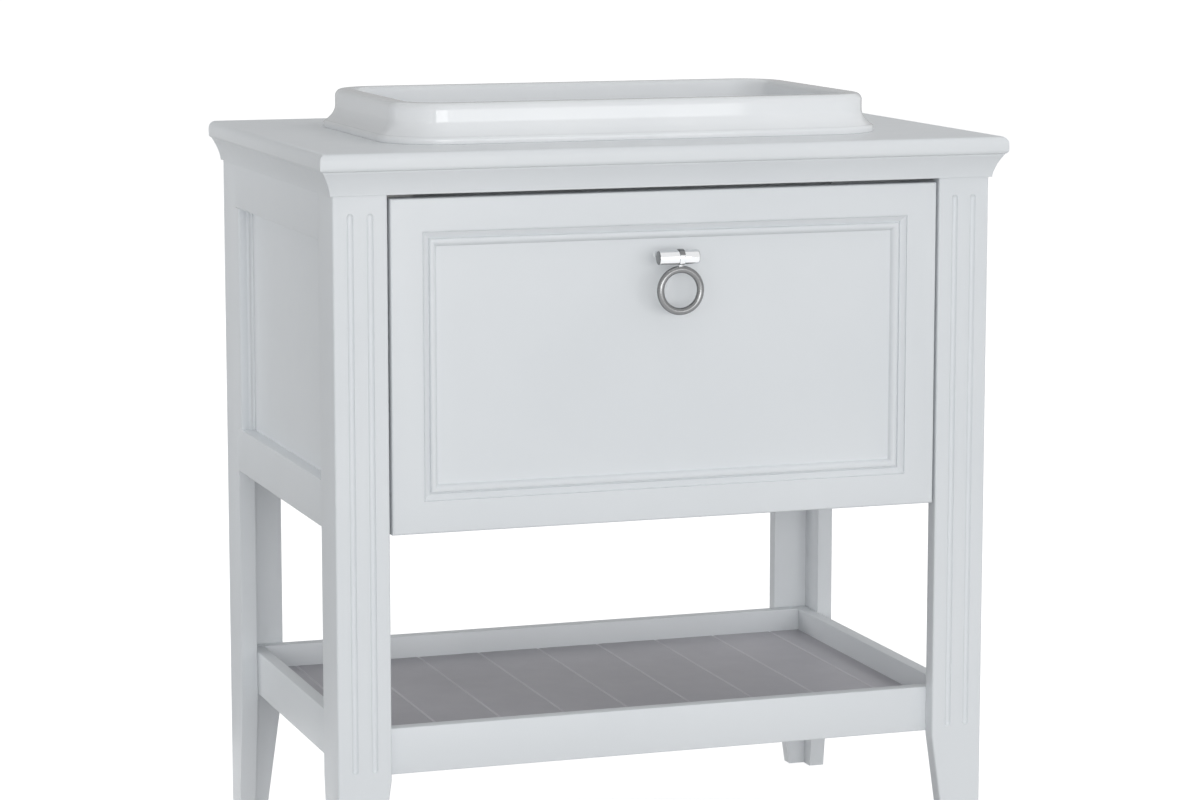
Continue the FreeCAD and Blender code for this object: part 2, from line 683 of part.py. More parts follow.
# Drawer box, open at the back's middle round the plumbing
for side, sign in SIDES.items():
    box_side = block(f"box_{side}", across(sign, "box_inner", "box_half"), ("front_thick", "box_rear"),
                     ("box_low", "box_top"))
    keep(box_side, f"drawer_{side}_side")
    box_back = block(f"box_back_{side}", across(sign, "recess_width / 2", "box_inner"),
                     ("box_rear - box_side", "box_rear"), ("bottom_top", "back_top"))
    keep(box_back, f"drawer_back_{side}")
recess_x = ("-recess_width / 2", "recess_width / 2")
recess_y = ("recess_front", "box_rear")
floor = block("box_floor", ("-box_inner", "box_inner"), ("front_thick", "box_rear"),
              ("bottom_low", "bottom_top"))
notch = block("box_notch", recess_x, (recess_y[0], "box_rear + overrun"),
              ("bottom_low - overrun", "bottom_top + overrun"))
keep(cut("box_floor_notched", floor, notch), "drawer_bottom")
liner = block("liner_block", recess_x, recess_y, ("bottom_low", "back_top"))
liner_space = block("liner_space", ("recess_wall - recess_width / 2", "recess_width / 2 - recess_wall"),
                    (f"{recess_y[0]} + recess_wall", "box_rear + overrun"),
                    ("bottom_low - overrun", "back_top + overrun"))
keep(cut("liner", liner, liner_space), "drawer_recess_liner")

# Runners: cabinet, middle and drawer channels, one inside the other, on packing bearers
step = "(runner_wall + runner_play)"


def channel(sign, web, tip, tall):
    """A C-shaped section about the runner's height: web on one side, flanges reaching to the tip."""
    inward = -1 if size(web) > size(tip) else 1
    back = f"{web} + {inward} * runner_wall"
    low = f"runner_mid - ({tall})"
    high = f"runner_mid + ({tall})"
    corners = [(web, low), (tip, low), (tip, f"{low} + runner_wall"), (back, f"{low} + runner_wall"),
               (back, f"{high} - runner_wall"), (tip, f"{high} - runner_wall"), (tip, high), (web, high)]
    return [(f"{sign} * ({x})", z) for x, z in corners]


channel_tip = "runner_face - runner_channel"
CHANNELS = {
    "cabinet": ("runner_face", channel_tip, "runner_tall / 2"),
    "middle": (f"runner_face - {step}", channel_tip, f"runner_tall / 2 - {step}"),
    "drawer": ("box_half", f"runner_face - 2 * {step}", f"runner_tall / 2 - 2 * {step}"),
}
for side, sign in SIDES.items():
    bearer_z = ("runner_mid - bearer_height / 2", "runner_mid + bearer_height / 2")
    bearer_x = across(sign, "runner_face", "half_inner")
    keep(block(f"bearer_{side}", bearer_x, ("board", "rear_inner"), bearer_z), f"runner_bearer_{side}")
    for member, section in CHANNELS.items():
        keep(drawn_out(f"{member}_channel_{side}", channel(sign, *section), "runner_length", FRONT,
                       "0", "runner_front + runner_length", "0"), f"runner_{side}_{member}")

# Ring pull: a bar on two posts, a collar that turns on it and carries the ring, screws from inside
bar_y = "-bar_standoff"
bar_body = rod("bar_rod", "bar_diameter / 2", "bar_length", "-bar_length / 2", bar_y, "bar_height", ALONG_X)
doc.recompute()
bar_round = doc.addObject("Part::Chamfer", "bar_ends")
bar_round.Base = bar_body
end_chamfer = size("bar_chamfer")
bar_round.Edges = [(number, end_chamfer, end_chamfer)
                   for number, edge in enumerate(bar_body.Shape.Edges, start=1)
                   if isinstance(edge.Curve, Part.Circle)]
posts = [rod(f"post{number}", "post_diameter / 2", "bar_standoff + panel_recess", x, bar_y, "bar_height",
             ALONG_Y) for number, x in enumerate(screw_x, start=1)]
sockets = [rod(f"post_socket{number}", screw_bore, "screw_grip + screw_diameter + overrun",
               x, "panel_recess - screw_grip - screw_diameter", "bar_height", ALONG_Y)
           for number, x in enumerate(screw_x, start=1)]
keep(cut("bar", join("bar_posts", bar_round, *posts), *sockets), "handle_bar")
screws = doc.addObject("Part::Compound", "screws")
screw_parts = []
for number, x in enumerate(screw_x, start=1):
    shank = rod(f"screw_shank{number}", "screw_diameter / 2", "panel_back - panel_recess + screw_grip", x,
                "panel_recess - screw_grip", "bar_height", ALONG_Y)
    head = rod(f"screw_head{number}", "screw_head / 2", "screw_head_height", x, "panel_back", "bar_height",
               ALONG_Y)
    screw_parts.append(join(f"screw{number}", shank, head))
screws.Links = screw_parts
keep(screws, "handle_screws")
# the collar is free to slide along the bar and rests a little off its middle
collar_left = "ring_shift - collar_width / 2"
collar = rod("collar_disc", "collar_radius", "collar_width", collar_left, bar_y, "bar_height",
             ALONG_X)
collar_hole = rod("collar_hole", "collar_bore", "collar_width + 2 * overrun", f"{collar_left} - overrun",
                  bar_y, "bar_height", ALONG_X)
hoop = doc.addObject("Part::Torus", "hoop")
bind(hoop, Radius1="ring_diameter / 2 - ring_wire / 2", Radius2="ring_wire / 2")
hoop.Placement = FreeCAD.Placement(V(0, 0, 0), FRONT)
put(hoop, "ring_shift", bar_y, "ring_height")
hanger = block("hanger", (collar_left, "ring_shift + collar_width / 2"),
               (f"{bar_y} - neck_depth / 2", f"{bar_y} + neck_depth / 2"),
               ("bar_height - collar_radius - ring_wire / 2", "bar_height - collar_bore - collar_wall / 2"))
keep(cut("pull", join("pull_parts", collar, hanger, hoop), collar_hole), "ring_pull")

doc.recompute()
faults = [thing.Label for thing in doc.Objects if {"Invalid", "Error"} & set(thing.State)]
faults += [node.Label for node in nodes if node.Shape.isNull() or not node.Shape.isValid()]
if faults:
    raise RuntimeError("these objects failed: " + ", ".join(faults))

os.makedirs("parts", exist_ok=True)
whole = FreeCAD.BoundBox()
for node in nodes:
    node.Shape.exportStep(f"parts/{node.Label}.step")
    whole.add(node.Shape.BoundBox)
print(len(nodes), "sub-parts; overall box", [round(value, 2) for value in
      (whole.XMin, whole.YMin, whole.ZMin, whole.XMax, whole.YMax, whole.ZMax)])
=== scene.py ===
# %% [markdown]
# # A washstand with a ring-pull drawer
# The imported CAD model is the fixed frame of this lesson. It says where every board is and what moves.
# Here the visible boards get their rounded edges, mouldings, flutes and finishes. All lengths are in
# millimetres while a shape is worked out, and become metres when it is put into a mesh.

# %% Load the frame
import json
import math

import bmesh
import bpy
import numpy as np
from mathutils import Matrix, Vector

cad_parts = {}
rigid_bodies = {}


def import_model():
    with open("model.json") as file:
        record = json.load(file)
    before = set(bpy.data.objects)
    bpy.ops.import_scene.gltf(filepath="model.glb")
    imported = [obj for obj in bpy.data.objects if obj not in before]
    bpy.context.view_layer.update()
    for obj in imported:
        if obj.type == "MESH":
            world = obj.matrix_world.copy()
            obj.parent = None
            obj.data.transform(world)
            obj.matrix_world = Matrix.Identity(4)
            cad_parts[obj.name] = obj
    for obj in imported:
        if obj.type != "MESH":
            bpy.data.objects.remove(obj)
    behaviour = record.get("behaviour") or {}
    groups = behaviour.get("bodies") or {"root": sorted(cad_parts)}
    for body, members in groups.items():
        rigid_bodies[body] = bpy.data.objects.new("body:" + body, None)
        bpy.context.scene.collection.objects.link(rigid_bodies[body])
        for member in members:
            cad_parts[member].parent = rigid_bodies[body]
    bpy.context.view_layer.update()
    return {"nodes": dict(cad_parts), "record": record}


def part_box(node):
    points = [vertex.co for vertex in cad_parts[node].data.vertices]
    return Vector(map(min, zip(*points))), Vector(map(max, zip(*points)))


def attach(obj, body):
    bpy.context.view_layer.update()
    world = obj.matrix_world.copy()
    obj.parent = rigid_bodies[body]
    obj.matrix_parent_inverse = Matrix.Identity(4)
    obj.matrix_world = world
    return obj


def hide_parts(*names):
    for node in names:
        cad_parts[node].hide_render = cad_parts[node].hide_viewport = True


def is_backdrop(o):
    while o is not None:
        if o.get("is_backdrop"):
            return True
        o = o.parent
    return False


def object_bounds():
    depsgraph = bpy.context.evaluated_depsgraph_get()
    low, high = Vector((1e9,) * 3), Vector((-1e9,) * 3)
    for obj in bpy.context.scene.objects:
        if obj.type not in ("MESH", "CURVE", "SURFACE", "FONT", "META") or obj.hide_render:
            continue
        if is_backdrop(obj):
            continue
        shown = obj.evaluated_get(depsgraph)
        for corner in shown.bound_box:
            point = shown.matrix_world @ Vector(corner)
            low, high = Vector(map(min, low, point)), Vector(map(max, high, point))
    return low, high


for leftover in list(bpy.data.objects):
    bpy.data.objects.remove(leftover)
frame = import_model()
SLOTS = {entry["node"]: entry["material_slot"] for entry in frame["record"]["subparts"]}
MM = 0.001

# %% [markdown]
# ## From arrays to meshes
# Blender's own primitives could be pushed into shape, but every profile here has known measures. So a
# surface is a grid of points: one direction runs round a profile, the other along a path. Faces
# follow from the numbering alone, so no loop over points is needed. Merging doubles closes seams and
# poles, and recalculating the normals turns all faces outwards.

# %% Mesh helpers
SHARP_ANGLE, MERGE_METRES = 38.0, 1e-6


def box(node):
    """Lowest and highest corner of a CAD node, in millimetres."""
    low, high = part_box(node)
    return np.array(low) / MM, np.array(high) / MM


def grid_faces(rows, columns, wrap_rows=False, wrap_columns=False):
    """Quads of a grid numbered row by row: a point, its neighbour, and the two in the next row."""
    row = np.arange(rows if wrap_rows else rows - 1)[:, None]
    column = np.arange(columns if wrap_columns else columns - 1)[None, :]
    after = (row + 1) % rows * columns
    beside = (column + 1) % columns
    quads = [row * columns + column, row * columns + beside, after + beside, after + column]
    return np.stack(np.broadcast_arrays(*quads), axis=-1).reshape(-1, 4).tolist()


def tube(points, capped=True):
    """A grid whose rows are closed loops; the first and last loop are closed by a face if capped."""
    rows, columns = points.shape[:2]
    faces = grid_faces(rows, columns, wrap_columns=True)
    if capped:
        faces += [list(range(columns))[::-1], list(range((rows - 1) * columns, rows * columns))]
    return points.reshape(-1, 3), faces


def ring(points):
    """A grid that is closed both ways, like the skin of a hoop."""
    rows, columns = points.shape[:2]
    return points.reshape(-1, 3), grid_faces(rows, columns, True, True)


def together(*shapes):
    """Several shapes as one list of points and one of faces."""
    starts = np.cumsum([0] + [len(points) for points, _ in shapes])
    faces = [[start + corner for corner in face] for start, (_, part) in zip(starts, shapes) for face in part]
    return np.concatenate([points for points, _ in shapes]), faces


def add_piece(name, shape, body, finish, stands_for, sharp=SHARP_ANGLE):
    """Makes a mesh object from points and faces, lets it ride on a body and stand for CAD nodes."""
    points, faces = shape
    mesh = bpy.data.meshes.new(name)
    mesh.from_pydata((points * MM).tolist(), [], faces)
    work = bmesh.new()
    work.from_mesh(mesh)
    bmesh.ops.remove_doubles(work, verts=work.verts, dist=MERGE_METRES)
    bmesh.ops.recalc_face_normals(work, faces=work.faces)
    work.to_mesh(mesh)
    work.free()
    mesh.polygons.foreach_set("use_smooth", np.ones(len(mesh.polygons), bool))
    mesh.set_sharp_from_angle(angle=math.radians(sharp))
    piece = bpy.data.objects.new(name, mesh)
    bpy.context.scene.collection.objects.link(piece)
    mesh.materials.append(finish)
    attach(piece, body)
    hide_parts(*stands_for)
    print(f"{name}: {len(mesh.vertices)} points, {len(mesh.polygons)} faces for {len(stands_for)} node(s)")
    return piece


# %% [markdown]
# ## Profiles
# Every joiner's moulding is a chain of straight runs and arcs. Three small helpers draw them: an
# outline with rounded corners, an arc that bulges away from its chord, and a chain that joins such
# runs. A Bevel modifier could round the edges too, but a formula gives each its own radius and keeps
# the points in a known order.

# %% Profile helpers
QUARTER = 0.41
STRAIGHT, SAME_POINT = 1e-6, 1e-4


def rounded_outline(corners, radii, steps):
    """A closed outline with an arc at each corner.

    The arc's centre lies on the corner's bisector, radius / sin(half angle) away. Its points turn
    evenly from the first tangent direction to the last one.
    """
    corners = np.asarray(corners, float)
    radius = np.asarray(radii, float)[:, None]
    back = np.roll(corners, 1, 0) - corners
    ahead = np.roll(corners, -1, 0) - corners
    back /= np.linalg.norm(back, axis=1, keepdims=True)
    ahead /= np.linalg.norm(ahead, axis=1, keepdims=True)
    half = np.arccos(np.clip((back * ahead).sum(1), -1, 1))[:, None] / 2
    bisector = (back + ahead) / np.linalg.norm(back + ahead, axis=1, keepdims=True)
    centre = corners + bisector * radius / np.sin(half)
    first = (corners + back * radius / np.tan(half) - centre) / radius
    last = (corners + ahead * radius / np.tan(half) - centre) / radius
    turn = (np.pi - 2 * half)[:, :, None]
    share = np.linspace(0, 1, steps)[None, :, None]
    blend = np.sin((1 - share) * turn) * first[:, None] + np.sin(share * turn) * last[:, None]
    return centre[:, None] + radius[:, :, None] * blend / np.sin(turn)


def arc(start, end, bulge, steps=7):
    """Points from start to end on an arc.

    The bulge is the arc's height over half its chord, positive to the left, and QUARTER for a quarter
    circle. The turn is four times its arc tangent; the centre lies on the chord's bisector.
    """
    start, end = np.asarray(start, float), np.asarray(end, float)
    turn = 4 * math.atan(bulge)
    share = np.linspace(0, 1, steps)[:, None]
    if abs(turn) < STRAIGHT:
        return start + share * (end - start)
    chord = end - start
    left = np.array([-chord[1], chord[0]])
    centre = (start + end) / 2 - left / (2 * math.tan(turn / 2))
    arm = start - centre
    angle = -share * turn
    return centre + np.hstack([arm[0] * np.cos(angle) - arm[1] * np.sin(angle),
                               arm[0] * np.sin(angle) + arm[1] * np.cos(angle)])


def chain(*runs):
    """Joins runs of points end to end and drops points that repeat."""
    points = np.concatenate([np.atleast_2d(np.asarray(run, float)) for run in runs])
    kept = np.ones(len(points), bool)
    kept[1:] = np.linalg.norm(np.diff(points, axis=0), axis=1) > SAME_POINT
    return points[kept]


# %% [markdown]
# ## Finishes
# Sprayed lacquer is not one flat white. Its tone drifts a little over a board, its gloss is uneven
# and its skin has a fine dimple that painters call orange peel. Each finish could have its own noise
# nodes, but the same three effects, with other values, also serve glaze, metal, foil, rubber and
# plastic, so they are one node group that all finishes share.

# %% The shared skin group
SKIN_INPUTS = ("Drift per metre", "Gloss per metre", "Dimples per metre")
SKIN_OUTPUTS = ("Tone", "Gloss", "Dimple")
SKIN_DETAIL, SKIN_ROUGHNESS = (3.0, 4.0, 1.0), 0.55
DRIFT, GLOSS, DIMPLES = 2.5, 35.0, 600.0


def add_node(tree, kind, **settings):
    """Adds a node; settings named like an input set that input, others set a property."""
    made = tree.nodes.new(kind)
    for key, value in settings.items():
        if key in made.inputs:
            made.inputs[key].default_value = value
        else:
            setattr(made, key, value)
    return made


def sprayed_skin_group():
    """Drifting tone, uneven gloss and a dimpled skin, all from noise on Object coordinates."""
    group = bpy.data.node_groups.new("sprayed_skin", "ShaderNodeTree")
    for label, value in zip(SKIN_INPUTS, (DRIFT, GLOSS, DIMPLES)):
        socket = group.interface.new_socket(label, in_out="INPUT", socket_type="NodeSocketFloat")
        socket.default_value = value
    for label in SKIN_OUTPUTS:
        group.interface.new_socket(label, in_out="OUTPUT", socket_type="NodeSocketFloat")
    start = group.nodes.new("NodeGroupInput")
    end = group.nodes.new("NodeGroupOutput")
    place = group.nodes.new("ShaderNodeTexCoord")
    for density, label, detail in zip(SKIN_INPUTS, SKIN_OUTPUTS, SKIN_DETAIL):
        noise = add_node(group, "ShaderNodeTexNoise", Detail=detail, Roughness=SKIN_ROUGHNESS)
        group.links.new(place.outputs["Object"], noise.inputs["Vector"])
        group.links.new(start.outputs[density], noise.inputs["Scale"])
        group.links.new(noise.outputs["Fac"], end.inputs[label])
    return group


SKIN = sprayed_skin_group()
print("skin group:", [item.name for item in SKIN.interface.items_tree])

# %% [markdown]
# A finish places the skin group with its own values: two near tones, a range of roughness and a
# bump height. Numbers that are the same all over stay on the shader's own sockets.

# %% A finish from the skin group
TONE_SPAN, GLOSS_SPAN = (0.35, 0.65), (0.3, 0.7)


def colour(red, green, blue):
    """An opaque colour."""
    return (red, green, blue, 1.0)


def skin_finish(name, tones, roughness, bump, drift=DRIFT, gloss=GLOSS, dimples=DIMPLES, **shader):
    """A Principled finish whose colour, roughness and bump come from the skin group."""
    material = bpy.data.materials.new(name)
    material.use_nodes = True
    tree = material.node_tree
    surface = tree.nodes["Principled BSDF"]
    for key, value in shader.items():
        surface.inputs[key.replace("_", " ")].default_value = value
    skin = add_node(tree, "ShaderNodeGroup", node_tree=SKIN)
    for label, value in zip(SKIN_INPUTS, (drift, gloss, dimples)):
        skin.inputs[label].default_value = value
    ramp = tree.nodes.new("ShaderNodeValToRGB")
    for element, position, tone in zip(ramp.color_ramp.elements, TONE_SPAN, tones):
        element.position, element.color = position, tone
    spread = tree.nodes.new("ShaderNodeMapRange")
    for label, value in zip(("From Min", "From Max", "To Min", "To Max"), (*GLOSS_SPAN, *roughness)):
        spread.inputs[label].default_value = value
    relief = add_node(tree, "ShaderNodeBump", Strength=bump[0], Distance=bump[1])
    for source, target in ((skin.outputs["Tone"], ramp.inputs["Fac"]),
                           (ramp.outputs["Color"], surface.inputs["Base Color"]),
                           (skin.outputs["Gloss"], spread.inputs["Value"]),
                           (spread.outputs["Result"], surface.inputs["Roughness"]),
                           (skin.outputs["Dimple"], relief.inputs["Height"]),
                           (relief.outputs["Normal"], surface.inputs["Normal"])):
        tree.links.new(source, target)
    print("finish", name, "roughness", roughness)
    return material


# %% [markdown]
# The frame is sprayed in a cool satin white and the counter a shade glossier. The tray floor takes a
# greyer lilac white, painted shade for the shade under the cabinet, and its joints a paler coat, a
# painted highlight. The bowl is glazed. The handle is polished chrome; its satin parts are painted
# darker, painted shade for the dark surroundings they mirror. Inside there are foiled boards,
# zinc-plated runners, a rubber seal and moulded plastic.

# %% The finishes of this unit
LACQUER = skin_finish("white_lacquer", (colour(0.770, 0.795, 0.815), colour(0.800, 0.822, 0.840)),
                      (0.34, 0.44), (0.05, 0.0004), Specular_IOR_Level=0.35)
COUNTER_LACQUER = skin_finish("counter_lacquer", (colour(0.785, 0.808, 0.826), colour(0.815, 0.835, 0.850)),
                              (0.30, 0.40), (0.04, 0.0004), Specular_IOR_Level=0.35)
# Painted highlight: a paler lacquer for the joint bevels of the tray floor, standing for the light they
# catch.
JOINT_HIGHLIGHT_LACQUER = skin_finish("joint_lacquer_painted_highlight", (colour(0.610, 0.600, 0.630), colour(0.655, 0.645, 0.675)),
                            (0.34, 0.44), (0.05, 0.0004), Specular_IOR_Level=0.35)
# Painted shade: the tray floor's lacquer is greyer and lilac, darkened for the shade under the cabinet.
TRAY_SHADE_LACQUER = skin_finish("tray_lacquer_painted_shade", (colour(0.490, 0.480, 0.512), colour(0.524, 0.514, 0.545)),
                           (0.40, 0.52), (0.05, 0.0004), Specular_IOR_Level=0.3)
FOIL = skin_finish("carcass_foil", (colour(0.760, 0.762, 0.750), colour(0.800, 0.800, 0.788)),
                   (0.48, 0.60), (0.10, 0.0004), dimples=1400.0)
GLAZE = skin_finish("white_glaze", (colour(0.830, 0.845, 0.858), colour(0.860, 0.872, 0.882)),
                    (0.045, 0.085), (0.03, 0.001), drift=6.0, dimples=45.0)
CHROME = skin_finish("polished_chrome", (colour(0.78, 0.79, 0.80), colour(0.84, 0.85, 0.86)),
                     (0.05, 0.10), (0.02, 0.0002), gloss=250.0, dimples=2500.0, Metallic=1.0)
# Painted shade: satin chrome far darker than chrome, for the dark surroundings that the ring and the bar's
# ends mirror.
SATIN_CHROME_PAINTED_SHADE = skin_finish("satin_chrome_painted_shade", (colour(0.21, 0.213, 0.216), colour(0.26, 0.263, 0.266)),
                           (0.20, 0.28), (0.03, 0.0002), gloss=300.0, dimples=2500.0, Metallic=1.0)
ZINC = skin_finish("zinc_plate", (colour(0.52, 0.54, 0.56), colour(0.66, 0.68, 0.70)),
                   (0.28, 0.42), (0.05, 0.0002), drift=60.0, gloss=220.0, dimples=1800.0, Metallic=1.0)
RUBBER = skin_finish("black_rubber", (colour(0.035, 0.035, 0.037), colour(0.060, 0.060, 0.062)),
                     (0.62, 0.78), (0.15, 0.0003), drift=30.0, dimples=1200.0)
PLASTIC = skin_finish("white_plastic", (colour(0.780, 0.780, 0.765), colour(0.815, 0.815, 0.800)),
                      (0.40, 0.52), (0.12, 0.0003), dimples=1600.0)

# %% [markdown]
# ## The CAD nodes that stay
# Boards inside the unit, runners, waste and screws already have the right shape, and modelling them
# again would gain nothing. They keep their mesh and take the finish of their slot.

# %% Finishes on the CAD nodes
FINISHES = {"white_lacquer": LACQUER, "counter_lacquer": COUNTER_LACQUER, "carcass_board": FOIL,
            "glazed_ceramic": GLAZE, "chrome": CHROME, "zinc_steel": ZINC, "black_rubber": RUBBER,
            "white_plastic": PLASTIC}
for node, slot in SLOTS.items():
    materials = frame["nodes"][node].data.materials
    materials.clear()
    materials.append(FINISHES[slot])
print("finished", len(SLOTS), "CAD nodes")

# %% [markdown]
# ## Fluted legs
# Each leg is two boards glued to an L, with soft outer edges, tapered on the inner edges near the
# floor. The front ones carry two round-ended flutes. A Boolean could cut them, but it leaves long
# thin faces that shade badly. Here a whole leg is one outline carried upwards: the taper slides the
# inner corners, and the flutes sink the points of the front face by the depth of a circle, measured
# from the flute's centre line.

# %% The flutes' hollow
leg_low, leg_high = box("leg_front_left_face")
LEG_WIDTH = leg_high[0] - leg_low[0]
FLUTE_WIDTH, FLUTE_DEPTH, FLUTE_SPACING = 7.0, 2.8, 22.0
FLUTE_LOW, FLUTE_HIGH = 165.5, 772.5
FLUTE_SOFT = 0.25


def flute_depth(across, height):
    """How deep the flutes are at a place on the face.

    The nearest point of a flute's centre line is the height held between its two ends. At a distance
    r from it the hollow is sqrt(R^2 - r^2) - (R - depth), and a soft maximum with zero eases its edge.
    """
    radius = (FLUTE_WIDTH**2 / 4 + FLUTE_DEPTH**2) / (2 * FLUTE_DEPTH)
    middles = LEG_WIDTH / 2 + np.array([-0.5, 0.5]) * FLUTE_SPACING
    away = height - np.clip(height, FLUTE_LOW, FLUTE_HIGH)
    reach = np.sqrt((across[..., None] - middles) ** 2 + away[..., None] ** 2)
    hollow = np.sqrt(np.maximum(radius**2 - reach**2, 0)) - (radius - FLUTE_DEPTH)
    return ((hollow + np.sqrt(hollow**2 + FLUTE_SOFT**2)) / 2).max(-1) * (reach.min(-1) < radius)


print("legs", round(LEG_WIDTH, 2), "mm wide, flutes from", FLUTE_LOW, "to", FLUTE_HIGH)

# %% Legs
BOARD = leg_high[1] - leg_low[1]
LEG_TOP = leg_high[2]
HALF_WIDTH = -leg_low[0]
FRONT = leg_low[1]
REAR = box("leg_rear_left_face")[1][1]
TAPER_TOP, TAPER = 152.0, 22.0
# The edge radii go round the L: outer edge, inner edge of the face board and its back, inner corner,
# back of the side board's inner edge and that edge itself.
LEG_EDGES, LEG_EDGE_STEPS = [2.2, 2.4, 0.6, 0.4, 0.6, 0.25], 6
# Rows of points stand close together only round the flutes' ends.
FACE_COLUMNS, END_ROWS, END_REACH, END_SHIFT = 115, 33, 8.0, 1.0
FLUTE_ENDS = (FLUTE_LOW - END_SHIFT, FLUTE_HIGH + END_SHIFT)


def leg(outer_x, outer_y, to_x, to_y, fluted):
    """The L-shaped outline carried up: a runs along the face board, b along the side board."""
    corners = [(0, 0), (LEG_WIDTH, 0), (LEG_WIDTH, BOARD), (BOARD, BOARD), (BOARD, LEG_WIDTH), (0, LEG_WIDTH)]
    arcs = rounded_outline(corners, LEG_EDGES, LEG_EDGE_STEPS)
    start, stop = arcs[0, -1, 0], arcs[1, 0, 0]
    face = np.linspace(start, stop, FACE_COLUMNS)[1:-1] if fluted else np.array([LEG_WIDTH / 2])
    flat = np.stack([face, 0 * face], axis=1)
    outline = np.concatenate([arcs[0], flat, arcs[1:].reshape(-1, 2)])
    still, slid = np.zeros(LEG_EDGE_STEPS), np.ones(LEG_EDGE_STEPS)
    slide_a = np.concatenate([still, (face - start) / (stop - start), slid, slid, still, still, still])
    slide_b = np.concatenate([still, 0 * face, still, still, still, slid, slid])
    on_face = np.concatenate([still, 0 * face + 1, still, still, still, still, still])
    ends = [np.linspace(end - END_REACH, end + END_REACH, END_ROWS) for end in FLUTE_ENDS]
    height = np.concatenate([[0.0, TAPER_TOP], *(ends if fluted else []), [LEG_TOP]])[:, None]
    taper = TAPER * np.clip((TAPER_TOP - height) / TAPER_TOP, 0, 1)
    a = outline[:, 0] - taper * slide_a
    b = outline[:, 1] - taper * slide_b
    if fluted:
        b = b + on_face * flute_depth(a, height + 0 * a)
    return tube(np.stack([outer_x + to_x * a, outer_y + to_y * b, height + 0 * a], axis=-1))


for end, outer_y, to_y in (("front", FRONT, 1), ("rear", REAR, -1)):
    for side, to_x in (("left", 1), ("right", -1)):
        shape = leg(-to_x * HALF_WIDTH, outer_y, to_x, to_y, end == "front")
        boards = [f"leg_{end}_{side}_face", f"leg_{end}_{side}_side"]
        add_piece(f"leg_{end}_{side}", shape, "cabinet", LACQUER, boards)

# %% [markdown]
# ## Framed sides
# Between the legs the sides have two rails and a sunk panel. Cubes with a Bevel modifier would round
# the ends of the rails too, so here a rounded profile is carried backwards with square ends, and the
# rails close up flush with the legs. The panel's profile has a step at its rear border, and at the
# foot of the step a bead that catches the light below a hollow.

# %% Side rails
EDGE, FINE_EDGE, RAIL_EDGE_STEPS = 1.4, 0.3, 5
RAIL_EDGES = {"top_rail": [EDGE, FINE_EDGE, FINE_EDGE, FINE_EDGE],
              "bottom_rail": [EDGE, FINE_EDGE, FINE_EDGE, EDGE]}


def carried_back(profile, y_low, y_high):
    """A closed profile (x, z) carried along y, with a face on each end."""
    rows = [np.stack([profile[:, 0], np.full(len(profile), y), profile[:, 1]], axis=1)
            for y in (y_low, y_high)]
    return tube(np.stack(rows))


def outer_and_inner(side, low, high):
    """The x of a side board's outer and inner face."""
    return (low[0], high[0]) if side == "left" else (high[0], low[0])


for side in ("left", "right"):
    for rail, radii in RAIL_EDGES.items():
        low, high = box(f"side_{side}_{rail}")
        outer, inner = outer_and_inner(side, low, high)
        corners = [(outer, low[2]), (inner, low[2]), (inner, high[2]), (outer, high[2])]
        profile = rounded_outline(corners, radii, RAIL_EDGE_STEPS).reshape(-1, 2)
        add_piece(f"side_{side}_{rail}_edged", carried_back(profile, low[1], high[1]), "cabinet", LACQUER,
                  [f"side_{side}_{rail}"])

# %% Side panels
SIDE_SHEET, SIDE_BORDER = 3.0, 15.0
SIDE_BEAD, BEAD_RISE, HOLLOW_RISE = 4.4, 3.4, 8.6
BEAD_BULGE, HOLLOW_BULGE = -0.45, 0.4
SIDE_RECESS = BOARD - SIDE_SHEET


def sunk_panel(side):
    """A sheet in plan, (y, depth): flat, bead, hollow, step and rear border; drawn from sill to head."""
    low, high = box(f"side_{side}_panel")
    outer, inner = outer_and_inner(side, low, high)
    inward, thick = np.sign(inner - outer), abs(inner - outer)
    step = high[1] - SIDE_BORDER
    bead_top = (step, SIDE_RECESS - BEAD_RISE)
    plan = chain([(low[1], SIDE_RECESS)],
                 arc((step - SIDE_BEAD, SIDE_RECESS), bead_top, BEAD_BULGE, steps=9),
                 arc(bead_top, (step, SIDE_RECESS - HOLLOW_RISE), HOLLOW_BULGE, steps=7),
                 arc((step, EDGE), (step + EDGE, 0.0), -QUARTER, steps=5),
                 [(high[1], 0.0), (high[1], thick), (low[1], thick)])
    rows = [np.stack([outer + inward * plan[:, 1], plan[:, 0], np.full(len(plan), z)], axis=1)
            for z in (low[2], high[2])]
    return tube(np.stack(rows))


for side in ("left", "right"):
    add_piece(f"side_{side}_sunk_panel", sunk_panel(side), "cabinet", LACQUER, [f"side_{side}_panel"])

# %% [markdown]
# ## Cove moulding
# The cove under the counter is one profile (reach, height) carried round three sides. A curve with a
# bevel object could carry it too, but would pinch at the corners. Here the two front corners are true
# mitres: there the reach goes out along both axes at once.

# %% Cove
cove_low, cove_high = box("cornice_front")
COVE_FOOT, COVE_SOFT, COVE_FILLET, COVE_BULGE = 2.9, 0.6, 1.5, 0.11
COVE_REACH = FRONT - cove_low[1]


def round_three_sides(profile, half_width, front, rear):
    """Profile points (reach, z) at the four stations rear left, front left, front right, rear right."""
    reach, z = profile[:, 0], profile[:, 1]
    side, back = half_width + reach, rear + 0 * reach
    stations = [(-side, back), (-side, front - reach), (side, front - reach), (side, back)]
    return np.stack([np.stack([x, y, z], axis=1) for x, y in stations])


